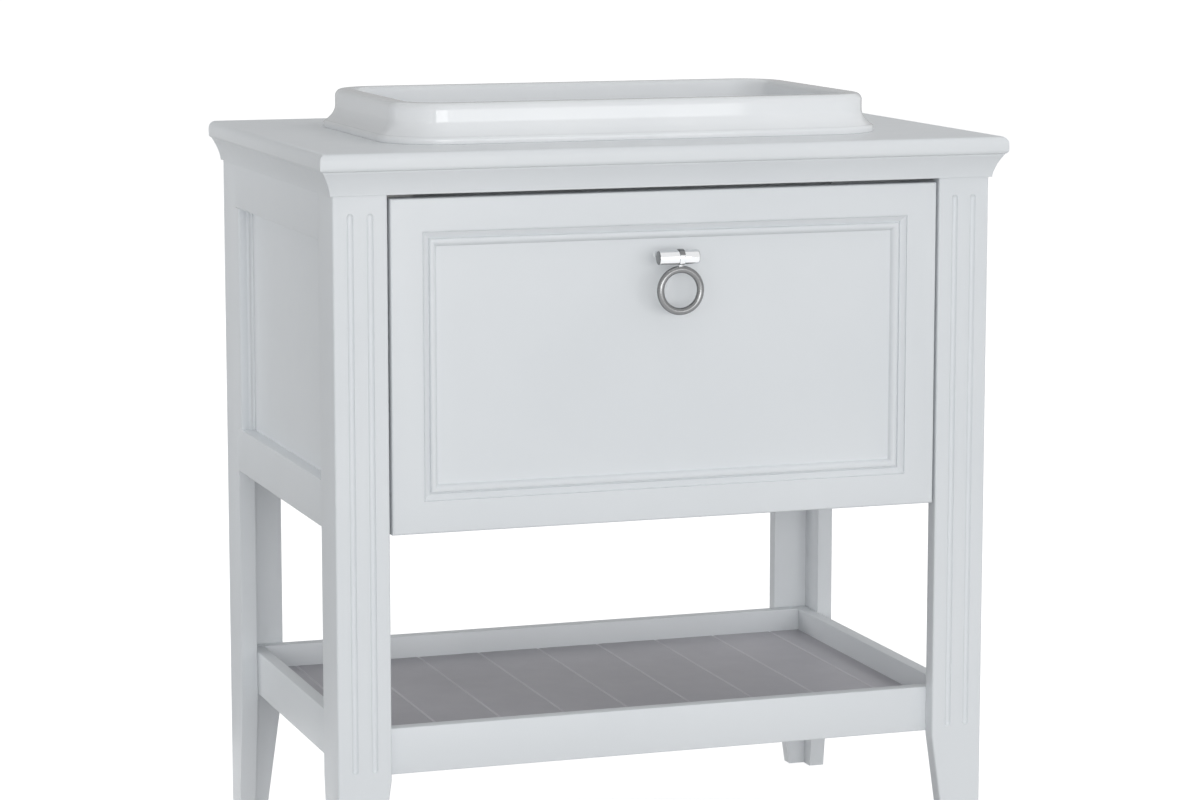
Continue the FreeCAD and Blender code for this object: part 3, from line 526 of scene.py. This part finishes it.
cove_start = (COVE_FOOT, cove_low[2] + COVE_FILLET)
cove_end = (COVE_REACH, cove_high[2] - COVE_FILLET / 2)
foot_start, foot_end = (COVE_FOOT - COVE_SOFT, cove_low[2]), (COVE_FOOT, cove_low[2] + COVE_SOFT)
cove_profile = chain([(0.0, cove_low[2])],
                     arc(foot_start, foot_end, -QUARTER, steps=4),
                     arc(cove_start, cove_end, COVE_BULGE, steps=14),
                     [(COVE_REACH, cove_high[2]), (0.0, cove_high[2])])
add_piece("cornice", tube(round_three_sides(cove_profile, HALF_WIDTH, FRONT, REAR)), "cabinet", LACQUER,
          ["cornice_front", "cornice_left", "cornice_right"])

# %% [markdown]
# ## Counter
# The counter is a board with a rounded nose on three sides and a cut-out for the bowl. A Boolean would
# cut the hole, but here every loop has the same count of points, so the skin runs from the cut-out's
# upper edge over the nose and back underneath to its lower edge, with no cutting at all.

# %% Loops of a rounded rectangle
CORNER_STEPS = 14
CORNER_SIGNS = np.repeat(np.array([[1, 1], [-1, 1], [-1, -1], [1, -1]]), CORNER_STEPS, axis=0)
CORNER_TURN = np.concatenate([np.linspace(0, np.pi / 2, CORNER_STEPS) + k * np.pi / 2 for k in range(4)])
CORNER_SPOKES = np.stack([np.cos(CORNER_TURN), np.sin(CORNER_TURN)], axis=1)


def rounded_loops(half, radius, height, middle):
    """Loops of a rounded rectangle: corner sign times (half - radius), plus radius times the spoke."""
    half, radius = np.asarray(half, float), np.asarray(radius, float)[:, None, None]
    flat = CORNER_SIGNS * (half[:, None, :] - radius) + radius * CORNER_SPOKES + np.asarray(middle)
    level = np.broadcast_to(np.asarray(height, float)[:, None, None], flat.shape[:2] + (1,))
    return np.concatenate([flat, level], axis=2)


print("a loop has", len(CORNER_SPOKES), "points")

# %% Counter
top_low, top_high = box("counter_top")
basin_low, basin_high = box("basin")
NOSE, NOSE_FOOT, NOSE_STEPS = 8.5, 4.5, 9
BASIN_HALF = np.array([281.0, 170.0])
BASIN_CORNER, RIM_LIP, BOWL_WALL, CUTOUT_GAP = 58.0, 20.0, 11.0, 3.0
BASIN_MIDDLE = (0.0, (basin_low[1] + basin_high[1]) / 2)
nose_arc = np.linspace(0, np.pi / 2, NOSE_STEPS)
nose_out = np.concatenate([NOSE * np.sin(nose_arc), NOSE - NOSE_FOOT * (1 - np.cos(nose_arc))])
nose_up = np.concatenate([top_high[2] - NOSE * (1 - np.cos(nose_arc)),
                          top_low[2] + NOSE_FOOT * (1 - np.sin(nose_arc))])
rear_side = CORNER_SIGNS[:, 1] > 0
core_x = CORNER_SIGNS[:, 0] * (top_high[0] - NOSE)
core_y = np.where(rear_side, top_high[1], top_low[1] + NOSE)
edge_loops = np.stack([core_x + CORNER_SIGNS[:, 0] * nose_out[:, None],
                       core_y - np.where(rear_side, 0, 1) * nose_out[:, None],
                       nose_up[:, None] + 0 * core_x], axis=2)
cutout_half = BASIN_HALF - RIM_LIP + BOWL_WALL + CUTOUT_GAP
cutout_corner = BASIN_CORNER - RIM_LIP + BOWL_WALL + CUTOUT_GAP
cutout = rounded_loops([cutout_half] * 2, [cutout_corner] * 2, [top_high[2], top_low[2]], BASIN_MIDDLE)
add_piece("counter", ring(np.concatenate([cutout[:1], edge_loops, cutout[1:]])), "cabinet", COUNTER_LACQUER,
          ["counter_top"])

# %% [markdown]
# ## Ceramic basin
# Slip-cast ceramic has no sharp edge anywhere. A subdivided cage would give soft forms, but no sure
# measures. Here one section line runs from the flange on the counter through a hollow sweep, up the
# wall, over the rim, down the bowl to the drain and back underneath. Each of its points is a rounded
# rectangle, so the whole basin is one closed skin.

# %% The basin's section line
def smooth_through(points, samples):
    """A cubic Hermite curve through points, with each tangent taken from the neighbours."""
    points = np.asarray(points, float)
    tangent = np.gradient(points, axis=0)
    place = np.linspace(0, len(points) - 1, samples)
    index = np.minimum(place.astype(int), len(points) - 2)
    t = (place - index)[:, None]
    return ((2 * t**3 - 3 * t**2 + 1) * points[index] + (t**3 - 2 * t**2 + t) * tangent[index]
            + (3 * t**2 - 2 * t**3) * points[index + 1] + (t**3 - t**2) * tangent[index + 1])


# Points of the section are (outwards from the wall's outer face, above the counter).
COUNTER = top_high[2]
RIM = basin_high[2] - COUNTER
WASTE_SINK, FLOOR_FALL = 3.0, 1.2
BOWL_FLOOR = box("waste_body")[1][2] - WASTE_SINK - COUNTER
FLANGE, FLANGE_SOFT, FLANGE_EDGE = 14.0, 0.6, 4.8
FLANGE_FOOT = FLANGE - 1.0
SWEEP_FOOT = (FLANGE - 3.2, 8.2)
SWEEP = [SWEEP_FOOT, (7.8, 10.8), (4.3, 14.4), (1.6, 18.8), (0.25, 22.6), (0.0, 26.0)]
RIM_ROUND, RIM_FLAT_END, RIM_DROP, RIM_STEPS = 8.0, -16.5, 6.5, 12
BOWL = [(RIM_FLAT_END - RIM_ROUND, RIM - RIM_DROP), (-26.5, RIM - 20), (-31, 3), (-36.5, -31), (-43.5, -56),
        (-54, -71), (-70, -79), (-80, BOWL_FLOOR + FLOOR_FALL)]
UNDERSIDE = [(-66, BOWL_FLOOR - BOWL_WALL), (-44, -82), (-33, -67), (-25.5, -42), (-20, -8), (-19.5, 0.0)]
turn = np.linspace(0, np.pi / 2, RIM_STEPS)
rim_outside = np.stack([-RIM_ROUND * (1 - np.cos(turn)), RIM - RIM_ROUND + RIM_ROUND * np.sin(turn)], axis=1)
rim_inside = np.stack([RIM_FLAT_END - RIM_ROUND * np.sin(turn), RIM - RIM_DROP * (1 - np.cos(turn))], axis=1)
outside = chain([(FLANGE_FOOT, 0.0)],
                arc((FLANGE - FLANGE_SOFT, 0.0), (FLANGE, FLANGE_SOFT), -QUARTER, steps=4),
                arc((FLANGE, FLANGE_EDGE), SWEEP_FOOT, bulge=-0.36, steps=8),
                smooth_through(SWEEP, samples=20), rim_outside, rim_inside, smooth_through(BOWL, samples=40))
under = smooth_through(UNDERSIDE, samples=14)
print("section line of", len(outside) + len(under), "points, bowl", round(RIM - BOWL_FLOOR, 1), "mm deep")

# %% Basin
DRAIN_RADIUS, FLOOR_LOOPS = 23.0, 8


def basin_rows(section):
    """Half sizes, corner radius and height of the rounded rectangle at each point of a section line."""
    half = BASIN_HALF + section[:, :1]
    corner = np.maximum(BASIN_CORNER + section[:, 0], BASIN_CORNER - RIM_LIP)
    return half, corner, section[:, 1] + COUNTER


def floor_rows(first, start_height, end_height):
    """Flat loops that turn a rounded rectangle into the drain's circle, share by share."""
    share = np.linspace(0, 1, FLOOR_LOOPS)[1:, None]
    half = (1 - share) * first + share * DRAIN_RADIUS
    radius = (1 - share[:, 0]) * (BASIN_CORNER - RIM_LIP) + share[:, 0] * DRAIN_RADIUS
    return half, radius, np.linspace(start_height, end_height, FLOOR_LOOPS)[1:] + COUNTER


bowl_edge, bowl_height = BOWL[-1]
drain_top = floor_rows(BASIN_HALF + bowl_edge, bowl_height, BOWL_FLOOR)
under_edge, under_height = UNDERSIDE[0]
drain_low = [rows[::-1] for rows in floor_rows(BASIN_HALF + under_edge, under_height, under_height)]
parts = [basin_rows(outside), drain_top, drain_low, basin_rows(under)]
half, radius, height = (np.concatenate(column) for column in zip(*parts))
add_piece("basin_glazed", ring(rounded_loops(half, radius, height, BASIN_MIDDLE)), "cabinet", GLAZE,
          ["basin"], sharp=50.0)

# %% [markdown]
# The press plug is turned: a low dome with a rounded rim on a thin stem. Blender's Spin tool would do,
# but a profile carried round as one array is as short and serves for the handle as well.

# %% Plug
ASKEW = (0.3, 0.5, 0.8)


def turned(profile, centre, axis, steps=64):
    """A turned shape: profile points (along the axis, radius) carried round the axis through the centre.

    A direction that is not along the axis gives the first spoke by a cross product, and the axis
    crossed with it the second. Each point is the axis part plus radius times (cos, sin) of the two.
    """
    axis = np.asarray(axis, float)
    side = np.cross(axis, ASKEW)
    side /= np.linalg.norm(side)
    other = np.cross(axis, side)
    angle = np.linspace(0, 2 * np.pi, steps, endpoint=False)[:, None]
    spoke = np.cos(angle) * side + np.sin(angle) * other
    profile = np.asarray(profile, float)
    return np.asarray(centre) + profile[:, None, :1] * axis + profile[:, None, 1:] * spoke


plug_low, plug_high = box("waste_plug")
PLUG_RADIUS, STEM, CAP_HEIGHT, CAP_SIDE = 30.0, 4.0, 5.0, 3.0
FOOT_INSET, SHOULDER_INSET = 1.2, 1.6
cap = plug_high[2] - CAP_HEIGHT
cap_foot = (cap, PLUG_RADIUS - FOOT_INSET)
cap_shoulder = (cap + CAP_SIDE, PLUG_RADIUS - SHOULDER_INSET)
plug_profile = chain([(plug_low[2], 0.0), (plug_low[2], STEM), (cap, STEM), cap_foot],
                     arc(cap_foot, cap_shoulder, bulge=0.55, steps=8),
                     arc(cap_shoulder, (cap + CAP_HEIGHT, 0.0), bulge=0.035, steps=14))
add_piece("plug_domed", tube(turned(plug_profile, (*BASIN_MIDDLE, 0.0), (0, 0, 1)), capped=False), "plug",
          CHROME, ["waste_plug"])

# %% [markdown]
# ## Tray shelf and drawer box
# Plain boards with softened edges. A cube with a Bevel modifier would do for one of them. A ball
# pulled apart along three axes needs no modifier, and one function makes all the boards from the
# boxes of their CAD nodes.

# %% Boards with softened edges
RAIL_SOFT, BOX_SOFT = 1.3, 0.9


def rounded_block(low, high, radius, steps=4):
    """A board with rounded edges: a ball of that radius cut into eighths, drawn apart to the board's size."""
    middle, half = (low + high) / 2, (high - low) / 2 - radius
    quarter = np.linspace(0, np.pi / 2, steps)
    around = np.concatenate([quarter + k * np.pi / 2 for k in range(4)])
    sign = np.repeat(np.array([[1, 1], [-1, 1], [-1, -1], [1, -1]]), steps, axis=0)
    climb = np.concatenate([quarter - np.pi / 2, quarter])
    lift = np.repeat([-1, 1], steps)
    x = sign[:, 0] * half[0] + radius * np.cos(climb)[:, None] * np.cos(around)
    y = sign[:, 1] * half[1] + radius * np.cos(climb)[:, None] * np.sin(around)
    z = (lift * half[2] + radius * np.sin(climb))[:, None] + 0 * x
    return tube(np.stack([x, y, z], axis=-1) + middle)


BOARDS = [(f"shelf_{side}_rail", "cabinet", LACQUER, RAIL_SOFT)
          for side in ("front", "rear", "left", "right")]
BOARDS += [(f"drawer_{part}", "drawer", FOIL, BOX_SOFT)
           for part in ("left_side", "right_side", "back_left", "back_right")]
for node, body, finish, soft in BOARDS:
    add_piece(f"{node}_edged", rounded_block(*box(node), soft), body, finish, [node])

# %% [markdown]
# The tray floor is tongue-and-groove boarding. Bump could hint at the joints, but grooves in the mesh
# hold up from any side. The top is a flat line with a shallow V at each joint, eased at the edges as
# sandpaper leaves them, and the whole section is carried from front to back. The faces of the bevels
# take a paler coat, a painted highlight for the light that the bevels catch.

# %% Tray floor
PLANKS, V_HALF, V_DEPTH = 9, 1.6, 1.1
V_SHARES = np.array([(-1.45, 0.0), (-1.1, 0.07), (-0.85, 0.28), (0.0, 1.0),
                     (0.85, 0.28), (1.1, 0.07), (1.45, 0.0)])
plank_low, plank_high = box("shelf_panel")
joints = (np.arange(PLANKS) - PLANKS // 2) * (plank_high[0] - plank_low[0]) / PLANKS
v_across, v_down = (V_SHARES * (V_HALF, V_DEPTH)).T
across = joints[:, None] + v_across
grooves = np.stack([across, plank_high[2] - v_down + 0 * across], axis=2).reshape(-1, 2)
planks = chain([(plank_low[0], plank_low[2]), (plank_low[0], plank_high[2])], grooves,
               [(plank_high[0], plank_high[2]), (plank_high[0], plank_low[2])])
# The tray floor's greyer lilac lacquer is painted shade for the shade under the cabinet.
floorboards = add_piece("shelf_planks", carried_back(planks, plank_low[1], plank_high[1]), "cabinet",
                        TRAY_SHADE_LACQUER, ["shelf_panel"], sharp=25.0)


# %% The painted highlight on the joints
def second_finish(piece, finish, chosen):
    """Gives a piece's faces a second finish where chosen, a test of their centres in millimetres, is true."""
    centres = np.empty(3 * len(piece.data.polygons))
    piece.data.polygons.foreach_get("center", centres)
    marked = chosen(centres.reshape(-1, 3) / MM)
    piece.data.materials.append(finish)
    piece.data.polygons.foreach_set("material_index", marked.astype(np.int32))
    print(piece.name, "has", int(marked.sum()), "faces in", finish.name)


def in_a_painted_joint_highlight(centre):
    """True within half a joint's width of its middle, on the upper side of the boards: the faces that take
    the painted highlight.
    """
    near = np.abs(centre[:, :1] - joints).min(1) < V_HALF
    return near & (centre[:, 2] > plank_low[2] + V_DEPTH)


# The joint bevels take the paler lacquer, a painted highlight.
second_finish(floorboards, JOINT_HIGHLIGHT_LACQUER, in_a_painted_joint_highlight)

# %% [markdown]
# ## Drawer front
# The front is a flat frame, a stepped moulding planted inside it and a sunk panel. Four mitred boards
# could be cut one by one. Frame and moulding are profiles (distance inwards, depth) carried round a
# rectangle instead; at the corners the distance counts both ways, which gives the mitre.

# %% Drawer front
stile_low, stile_high = box("drawer_front_left_stile")
FRONT_HALF = -stile_low[0]
FRONT_FRAME = stile_high[0] - stile_low[0]
FRONT_THICK = stile_high[1] - stile_low[1]
DRAWER_LOW, DRAWER_TOP = stile_low[2], stile_high[2]
FRONT_EDGES, FRONT_EDGE_STEPS = [2.6, 0.5, 0.5, 0.8], 6


def round_rectangle(profile):
    """Profile points (inwards, depth) at the four corners of the drawer front."""
    inwards, depth = profile[:, 0], profile[:, 1]
    x, z_low, z_top = FRONT_HALF - inwards, DRAWER_LOW + inwards, DRAWER_TOP - inwards
    corners = [(-x, z_low), (x, z_low), (x, z_top), (-x, z_top)]
    return np.stack([np.stack([px, FRONT + depth, pz], axis=1) for px, pz in corners])


section = [(0, 0), (FRONT_FRAME, 0), (FRONT_FRAME, FRONT_THICK), (0, FRONT_THICK)]
frame_profile = rounded_outline(section, FRONT_EDGES, FRONT_EDGE_STEPS).reshape(-1, 2)
add_piece("drawer_front_frame", ring(round_rectangle(frame_profile)), "drawer", LACQUER,
          [f"drawer_front_{part}" for part in ("left_stile", "right_stile", "top_rail", "bottom_rail")])

# %% [markdown]
# The moulding steps down in three: a fine groove against the frame, a slanting hollow that ends in a
# narrow quirk, then a bead whose inner side rolls down to the panel. The grooves give the dark lines.

# %% Drawer moulding
mould_low, mould_high = box("drawer_moulding_left")
MOULDING_WIDTH = mould_high[0] - mould_low[0]
RECESS = mould_high[1] - FRONT
GROOVE = [(0.0, 0.2), (0.15, 1.8), (1.0, 1.8), (1.2, 1.0)]
HOLLOW_END, QUIRK_EDGE, QUIRK = (6.7, 4.3), (7.0, 4.8), [(7.1, 6.0), (8.2, 6.0)]
BEAD_RISING, BEAD_FALLING = [(8.5, 4.2), (10.6, 2.2)], [(12.0, 2.2), (16.2, 5.8)]
PANEL_QUIRK, PANEL_EDGE = (16.4, 7.4), (MOULDING_WIDTH, RECESS)
moulding = chain(GROOVE,
                 arc(GROOVE[-1], HOLLOW_END, bulge=0.08, steps=8),
                 arc(HOLLOW_END, QUIRK_EDGE, bulge=-0.3, steps=4),
                 QUIRK,
                 arc(*BEAD_RISING, bulge=-0.32, steps=10),
                 arc(*BEAD_FALLING, bulge=-0.24, steps=12),
                 arc(PANEL_QUIRK, PANEL_EDGE, bulge=0.3, steps=4),
                 [(0.0, RECESS)])
moulding[:, 0] += FRONT_FRAME
add_piece("drawer_moulding", ring(round_rectangle(moulding)), "drawer", LACQUER,
          [f"drawer_moulding_{end}" for end in ("left", "right", "top", "bottom")], sharp=30.0)

# %% [markdown]
# ## Ring pull
# A short polished bar stands on two posts. A collar turns on it and carries the ring. Cylinders and a
# torus would be quicker, but their hard ends look cheap close up. Bar, posts and collar are turned
# from rounded profiles, and the ring is a circle carried round a circle. The bar's ends, the ring and
# the top of the collar take a satin chrome painted dark, painted shade for the dark surroundings they
# mirror; the lower collar takes polished chrome as a painted highlight, and the rest is polished.

# %% Handle
bar_low, bar_high = box("handle_bar")
BAR_RADIUS, BAR_END, POST_RADIUS, POST_SPACING = 8.0, 1.8, 3.5, 24.0
POST_FOOT, POST_FLARE, POST_STEPS = 2.5, 0.8, 32
bar_half = bar_high[0]
axis_y = bar_low[1] + BAR_RADIUS
axis_z = (bar_low[2] + bar_high[2]) / 2
bar_neck, bar_flat = BAR_RADIUS - BAR_END, bar_half - BAR_END
bar_profile = chain([(-bar_half, 0.0)],
                    arc((-bar_half, bar_neck), (-bar_flat, BAR_RADIUS), QUARTER),
                    arc((bar_flat, BAR_RADIUS), (bar_half, bar_neck), QUARTER),
                    [(bar_half, 0.0)])
post_length = bar_high[1] - axis_y
flare_start, flare_end = (post_length - POST_FOOT, POST_RADIUS), (post_length, POST_RADIUS + POST_FLARE)
post_profile = chain([(0.0, 0.0), (0.0, POST_RADIUS), flare_start],
                     arc(flare_start, flare_end, bulge=-0.3, steps=6),
                     [(post_length, 0.0)])
post_places = [(sign * POST_SPACING / 2, axis_y, axis_z) for sign in (-1, 1)]
posts = [tube(turned(post_profile, place, (0, 1, 0), POST_STEPS), capped=False) for place in post_places]
bar = tube(turned(bar_profile, (0.0, axis_y, axis_z), (1, 0, 0)), capped=False)
handle = add_piece("handle_bar_polished", together(bar, *posts), "drawer", CHROME, ["handle_bar"])
# Painted shade: the bar's ends take the dark satin chrome.
second_finish(handle, SATIN_CHROME_PAINTED_SHADE, lambda centre: np.abs(centre[:, 0]) > bar_half - BAR_END / 2)

# %% Ring and collar
ring_low, ring_high = box("ring_pull")
RING_WIRE, WIRE_STEPS, HOOP_STEPS = 4.0, 32, 120
COLLAR_RADIUS, COLLAR_BORE, COLLAR_HALF = 9.3, 8.3, 3.0
# The last of these is the span of heights where the collar takes polished chrome, a painted highlight.
COLLAR_EDGES, COLLAR_EDGE_STEPS, COLLAR_PAINTED_HIGHLIGHT = [0.2, 0.2, 0.45, 0.45], 5, (-0.5 - COLLAR_RADIUS, 3.5)
NECK_HALF, NECK_GAP, NECK_EDGE = 2.5, 0.3, 0.9
wire_angle = np.linspace(0, 2 * np.pi, WIRE_STEPS, endpoint=False)
hoop_radius = (ring_high[0] - ring_low[0]) / 2 - RING_WIRE
wire = np.stack([RING_WIRE * np.sin(wire_angle), hoop_radius + RING_WIRE * np.cos(wire_angle)], axis=1)
hoop_z = ring_low[2] + hoop_radius + RING_WIRE
ring_x = (ring_low[0] + ring_high[0]) / 2
hoop = ring(turned(wire, (ring_x, axis_y, hoop_z), (0, 1, 0), HOOP_STEPS))
section = [(-COLLAR_HALF, COLLAR_BORE), (COLLAR_HALF, COLLAR_BORE),
           (COLLAR_HALF, COLLAR_RADIUS), (-COLLAR_HALF, COLLAR_RADIUS)]
band = rounded_outline(section, COLLAR_EDGES, COLLAR_EDGE_STEPS).reshape(-1, 2)
collar = ring(turned(band, (ring_x, axis_y, axis_z), (1, 0, 0)))
neck_middle, neck_half = np.array([ring_x, axis_y]), np.array([COLLAR_HALF, NECK_HALF])
neck = rounded_block(np.append(neck_middle - neck_half, axis_z - COLLAR_RADIUS - RING_WIRE),
                     np.append(neck_middle + neck_half, axis_z - COLLAR_BORE - NECK_GAP), NECK_EDGE)
# The ring and collar take the dark satin chrome, painted shade for the dark surroundings they mirror.
pull = add_piece("ring_pull_polished", together(hoop, collar, neck), "ring", SATIN_CHROME_PAINTED_SHADE, ["ring_pull"])


def on_the_collar_highlight(centre):
    """True between the heights of the collar's painted highlight in polished chrome, counted from the bar's
    axis.
    """
    height = centre[:, 2] - axis_z
    return (height > COLLAR_PAINTED_HIGHLIGHT[0]) & (height < COLLAR_PAINTED_HIGHLIGHT[1])


# Painted highlight: the lower collar takes bright polished chrome, and its top stays dark as painted shade.
second_finish(pull, CHROME, on_the_collar_highlight)

# %% [markdown]
# ## Stage, light and camera
# The unit stands on a pale floor in a soft dome of light. A white background could come from strong
# lamps, but they would burn out the lacquer. Here only rays from the camera, reflections and
# transmissions see a white world and a glowing floor, so no extra light falls on the object, and the
# floor's own paint still keeps the shadow.

# %% Floor
FLOOR_REACH, FLOOR_GREY, FLOOR_GLOW = 40.0, 0.62, 0.78


def seen_directly(tree):
    """One where a ray is the camera's, a reflection or a transmission, and zero for light on the object."""
    rays = tree.nodes.new("ShaderNodeLightPath")
    largest = rays.outputs["Is Camera Ray"]
    for kind in ("Is Glossy Ray", "Is Transmission Ray"):
        larger = add_node(tree, "ShaderNodeMath", operation="MAXIMUM")
        tree.links.new(largest, larger.inputs[0])
        tree.links.new(rays.outputs[kind], larger.inputs[1])
        largest = larger.outputs[0]
    return largest


def stage_board(name, corners):
    """A flat board of the stage with an empty node material; gives the object and the node tree."""
    mesh = bpy.data.meshes.new(name)
    mesh.from_pydata(corners, [], [(0, 1, 2, 3)])
    paint = bpy.data.materials.new(name)
    paint.use_nodes = True
    paint.node_tree.nodes.clear()
    mesh.materials.append(paint)
    board = bpy.data.objects.new(name, mesh)
    bpy.context.scene.collection.objects.link(board)
    board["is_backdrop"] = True
    return board, paint.node_tree


_, tree = stage_board("floor", [(-FLOOR_REACH, -FLOOR_REACH, 0), (FLOOR_REACH, -FLOOR_REACH, 0),
                                (FLOOR_REACH, FLOOR_REACH, 0), (-FLOOR_REACH, FLOOR_REACH, 0)])
paint = add_node(tree, "ShaderNodeBsdfDiffuse", Color=colour(FLOOR_GREY, FLOOR_GREY, FLOOR_GREY))
glow = add_node(tree, "ShaderNodeEmission", Color=colour(1, 1, 1))
lift = add_node(tree, "ShaderNodeMath", operation="MULTIPLY")
lift.inputs[1].default_value = FLOOR_GLOW
both = tree.nodes.new("ShaderNodeAddShader")
out = tree.nodes.new("ShaderNodeOutputMaterial")
for source, target in ((seen_directly(tree), lift.inputs[0]), (lift.outputs[0], glow.inputs["Strength"]),
                       (paint.outputs[0], both.inputs[0]), (glow.outputs[0], both.inputs[1]),
                       (both.outputs[0], out.inputs["Surface"])):
    tree.links.new(source, target)
print("floor", 2 * FLOOR_REACH, "m wide, glow", FLOOR_GLOW)

# %% [markdown]
# The world could be one flat white, but then every face would look the same. Five soft lobes, one for
# each side and one above, are each as strong as the direction's cosine with their axis.

# %% World
DOME_SIDES = {"front": ((0, -1, 0), 0.56), "left": ((-1, 0, 0), 0.18), "right": ((1, 0, 0), 0.18),
              "back": ((0, 1, 0), 0.15), "above": ((0, 0, 1), 0.37)}
DOME_TINT = colour(0.96, 0.98, 1.0)
world = bpy.data.worlds.new("studio")
bpy.context.scene.world = world
world.use_nodes = True
tree = world.node_tree
tree.nodes.clear()
towards = tree.nodes.new("ShaderNodeTexCoord")
strength = None
for axis, amount in DOME_SIDES.values():
    facing = add_node(tree, "ShaderNodeVectorMath", operation="DOT_PRODUCT")
    facing.inputs[1].default_value = axis
    lobe = add_node(tree, "ShaderNodeMath", operation="MAXIMUM")
    lobe.inputs[1].default_value = 0.0
    added = add_node(tree, "ShaderNodeMath", operation="MULTIPLY_ADD")
    added.inputs[1].default_value, added.inputs[2].default_value = amount, 0.0
    tree.links.new(towards.outputs["Generated"], facing.inputs[0])
    tree.links.new(facing.outputs["Value"], lobe.inputs[0])
    tree.links.new(lobe.outputs[0], added.inputs[0])
    if strength:
        tree.links.new(strength, added.inputs[2])
    strength = added.outputs[0]
dome = add_node(tree, "ShaderNodeBackground", Color=DOME_TINT)
white = add_node(tree, "ShaderNodeBackground", Color=colour(1, 1, 1), Strength=1.0)
mix = tree.nodes.new("ShaderNodeMixShader")
out = tree.nodes.new("ShaderNodeOutputWorld")
for source, target in ((strength, dome.inputs["Strength"]), (seen_directly(tree), mix.inputs["Fac"]),
                       (dome.outputs[0], mix.inputs[1]), (white.outputs[0], mix.inputs[2]),
                       (mix.outputs[0], out.inputs["Surface"])):
    tree.links.new(source, target)
print("dome:", {side: amount for side, (_, amount) in DOME_SIDES.items()})

# %% [markdown]
# Two broad boxes in front, the left one stronger, model the mouldings. A small box at the left gives
# the glints on edges and glaze. Three fills, at the side, above and behind, only lift the shadows, so
# they stay out of the reflections.

# %% Lamps
def soft_lamp(name, place, target, size, watts, mirrored):
    """A rectangular area lamp at a place, turned so that it shines at the target."""
    lamp = bpy.data.lights.new(name, "AREA")
    lamp.shape = "RECTANGLE"
    lamp.size, lamp.size_y = size
    lamp.energy = watts
    holder = bpy.data.objects.new(name, lamp)
    bpy.context.scene.collection.objects.link(holder)
    holder.location = place
    holder.visible_camera = False
    holder.visible_glossy = mirrored
    holder.rotation_euler = (Vector(target) - Vector(place)).to_track_quat("-Z", "Y").to_euler()
    print("lamp", name, round(watts / (math.pi * size[0] * size[1]), 2), "W per square metre and steradian")


MIDDLE, COUNTER_MIDDLE, LEFT_SIDE = (0, 0, 0.5), (0, 0, 0.8), (-0.4, 0.15, 0.5)
soft_lamp("front_left_box", (-1.2, -6.0, 1.0), MIDDLE, (2.6, 1.8), watts=75.0, mirrored=True)
soft_lamp("front_right_box", (1.2, -6.0, 1.0), MIDDLE, (2.6, 1.8), watts=36.0, mirrored=True)
soft_lamp("glint_box", (-3.4, -4.8, 1.4), MIDDLE, (0.7, 0.8), watts=9.0, mirrored=True)
soft_lamp("side_fill", (-1.7, 1.05, 0.72), LEFT_SIDE, (0.9, 0.5), watts=7.6, mirrored=False)
soft_lamp("top_fill", (2.4, -0.6, 3.0), COUNTER_MIDDLE, (1.4, 1.4), watts=15.0, mirrored=False)
soft_lamp("rear_fill", (1.2, 4.2, 2.6), MIDDLE, (3.0, 2.4), watts=22.0, mirrored=False)

# %% [markdown]
# White glaze and satin lacquer look flat when they mirror nothing but white. In a photo studio grey
# boards, called flags, stand where the shiny parts look. These are seen by glossy rays alone: one
# stands behind, one lies on the floor behind, so they change neither the light nor the background.

# %% Flags
FLAG_HALF, FLAG_NEAR, FLAG_FAR, FLAG_TOP, FLAG_LIFT = 9.0, 0.6, 7.0, 5.0, 0.002
REAR_GREY, GROUND_GREY = 0.45, 0.32
FLAGS = {"rear_flag": (REAR_GREY, [(-FLAG_HALF, FLAG_FAR, 0), (FLAG_HALF, FLAG_FAR, 0),
                                   (FLAG_HALF, FLAG_FAR, FLAG_TOP), (-FLAG_HALF, FLAG_FAR, FLAG_TOP)]),
         "floor_flag": (GROUND_GREY, [(-FLAG_HALF, FLAG_NEAR, FLAG_LIFT), (FLAG_HALF, FLAG_NEAR, FLAG_LIFT),
                                      (FLAG_HALF, FLAG_FAR, FLAG_LIFT), (-FLAG_HALF, FLAG_FAR, FLAG_LIFT)])}
for name, (grey, corners) in FLAGS.items():
    flag, tree = stage_board(name, corners)
    board = add_node(tree, "ShaderNodeEmission", Color=colour(grey, grey, grey), Strength=1.0)
    out = tree.nodes.new("ShaderNodeOutputMaterial")
    tree.links.new(board.outputs[0], out.inputs["Surface"])
    flag.visible_camera = flag.visible_diffuse = flag.visible_transmission = flag.visible_shadow = False
    print("flag", name, "grey", grey)

# %% [markdown]
# The camera stands a little to the left and above the counter. It could be turned by eye, but its place
# and direction come from lines that are known to be level or upright. A long lens on a sensor 36 mm
# wide keeps the upright edges almost parallel, as in a catalogue picture.

# %% Camera
CAMERA_PLACE = Vector((-1.3632, -3.9949, 1.1515))
CAMERA_LOOK = Vector((0.31943, 0.93616, -0.14685))
SENSOR, LENS = 36.0, 109.44
camera = bpy.data.cameras.new("camera")
camera.sensor_width, camera.lens = SENSOR, LENS
eye = bpy.data.objects.new("camera", camera)
bpy.context.scene.collection.objects.link(eye)
eye.location = CAMERA_PLACE
eye.rotation_euler = CAMERA_LOOK.to_track_quat("-Z", "Y").to_euler()
bpy.context.scene.camera = eye
bpy.context.scene.view_settings.view_transform = "Standard"
print("camera at", tuple(round(v, 3) for v in CAMERA_PLACE), "lens", LENS)

# %% [markdown]
# ## Size note
# Dressing a model must not change its size. The box of the dressed model is printed below.

# %% Size note
low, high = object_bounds()
print("visual box", [round(v, 4) for v in (*low, *high)])
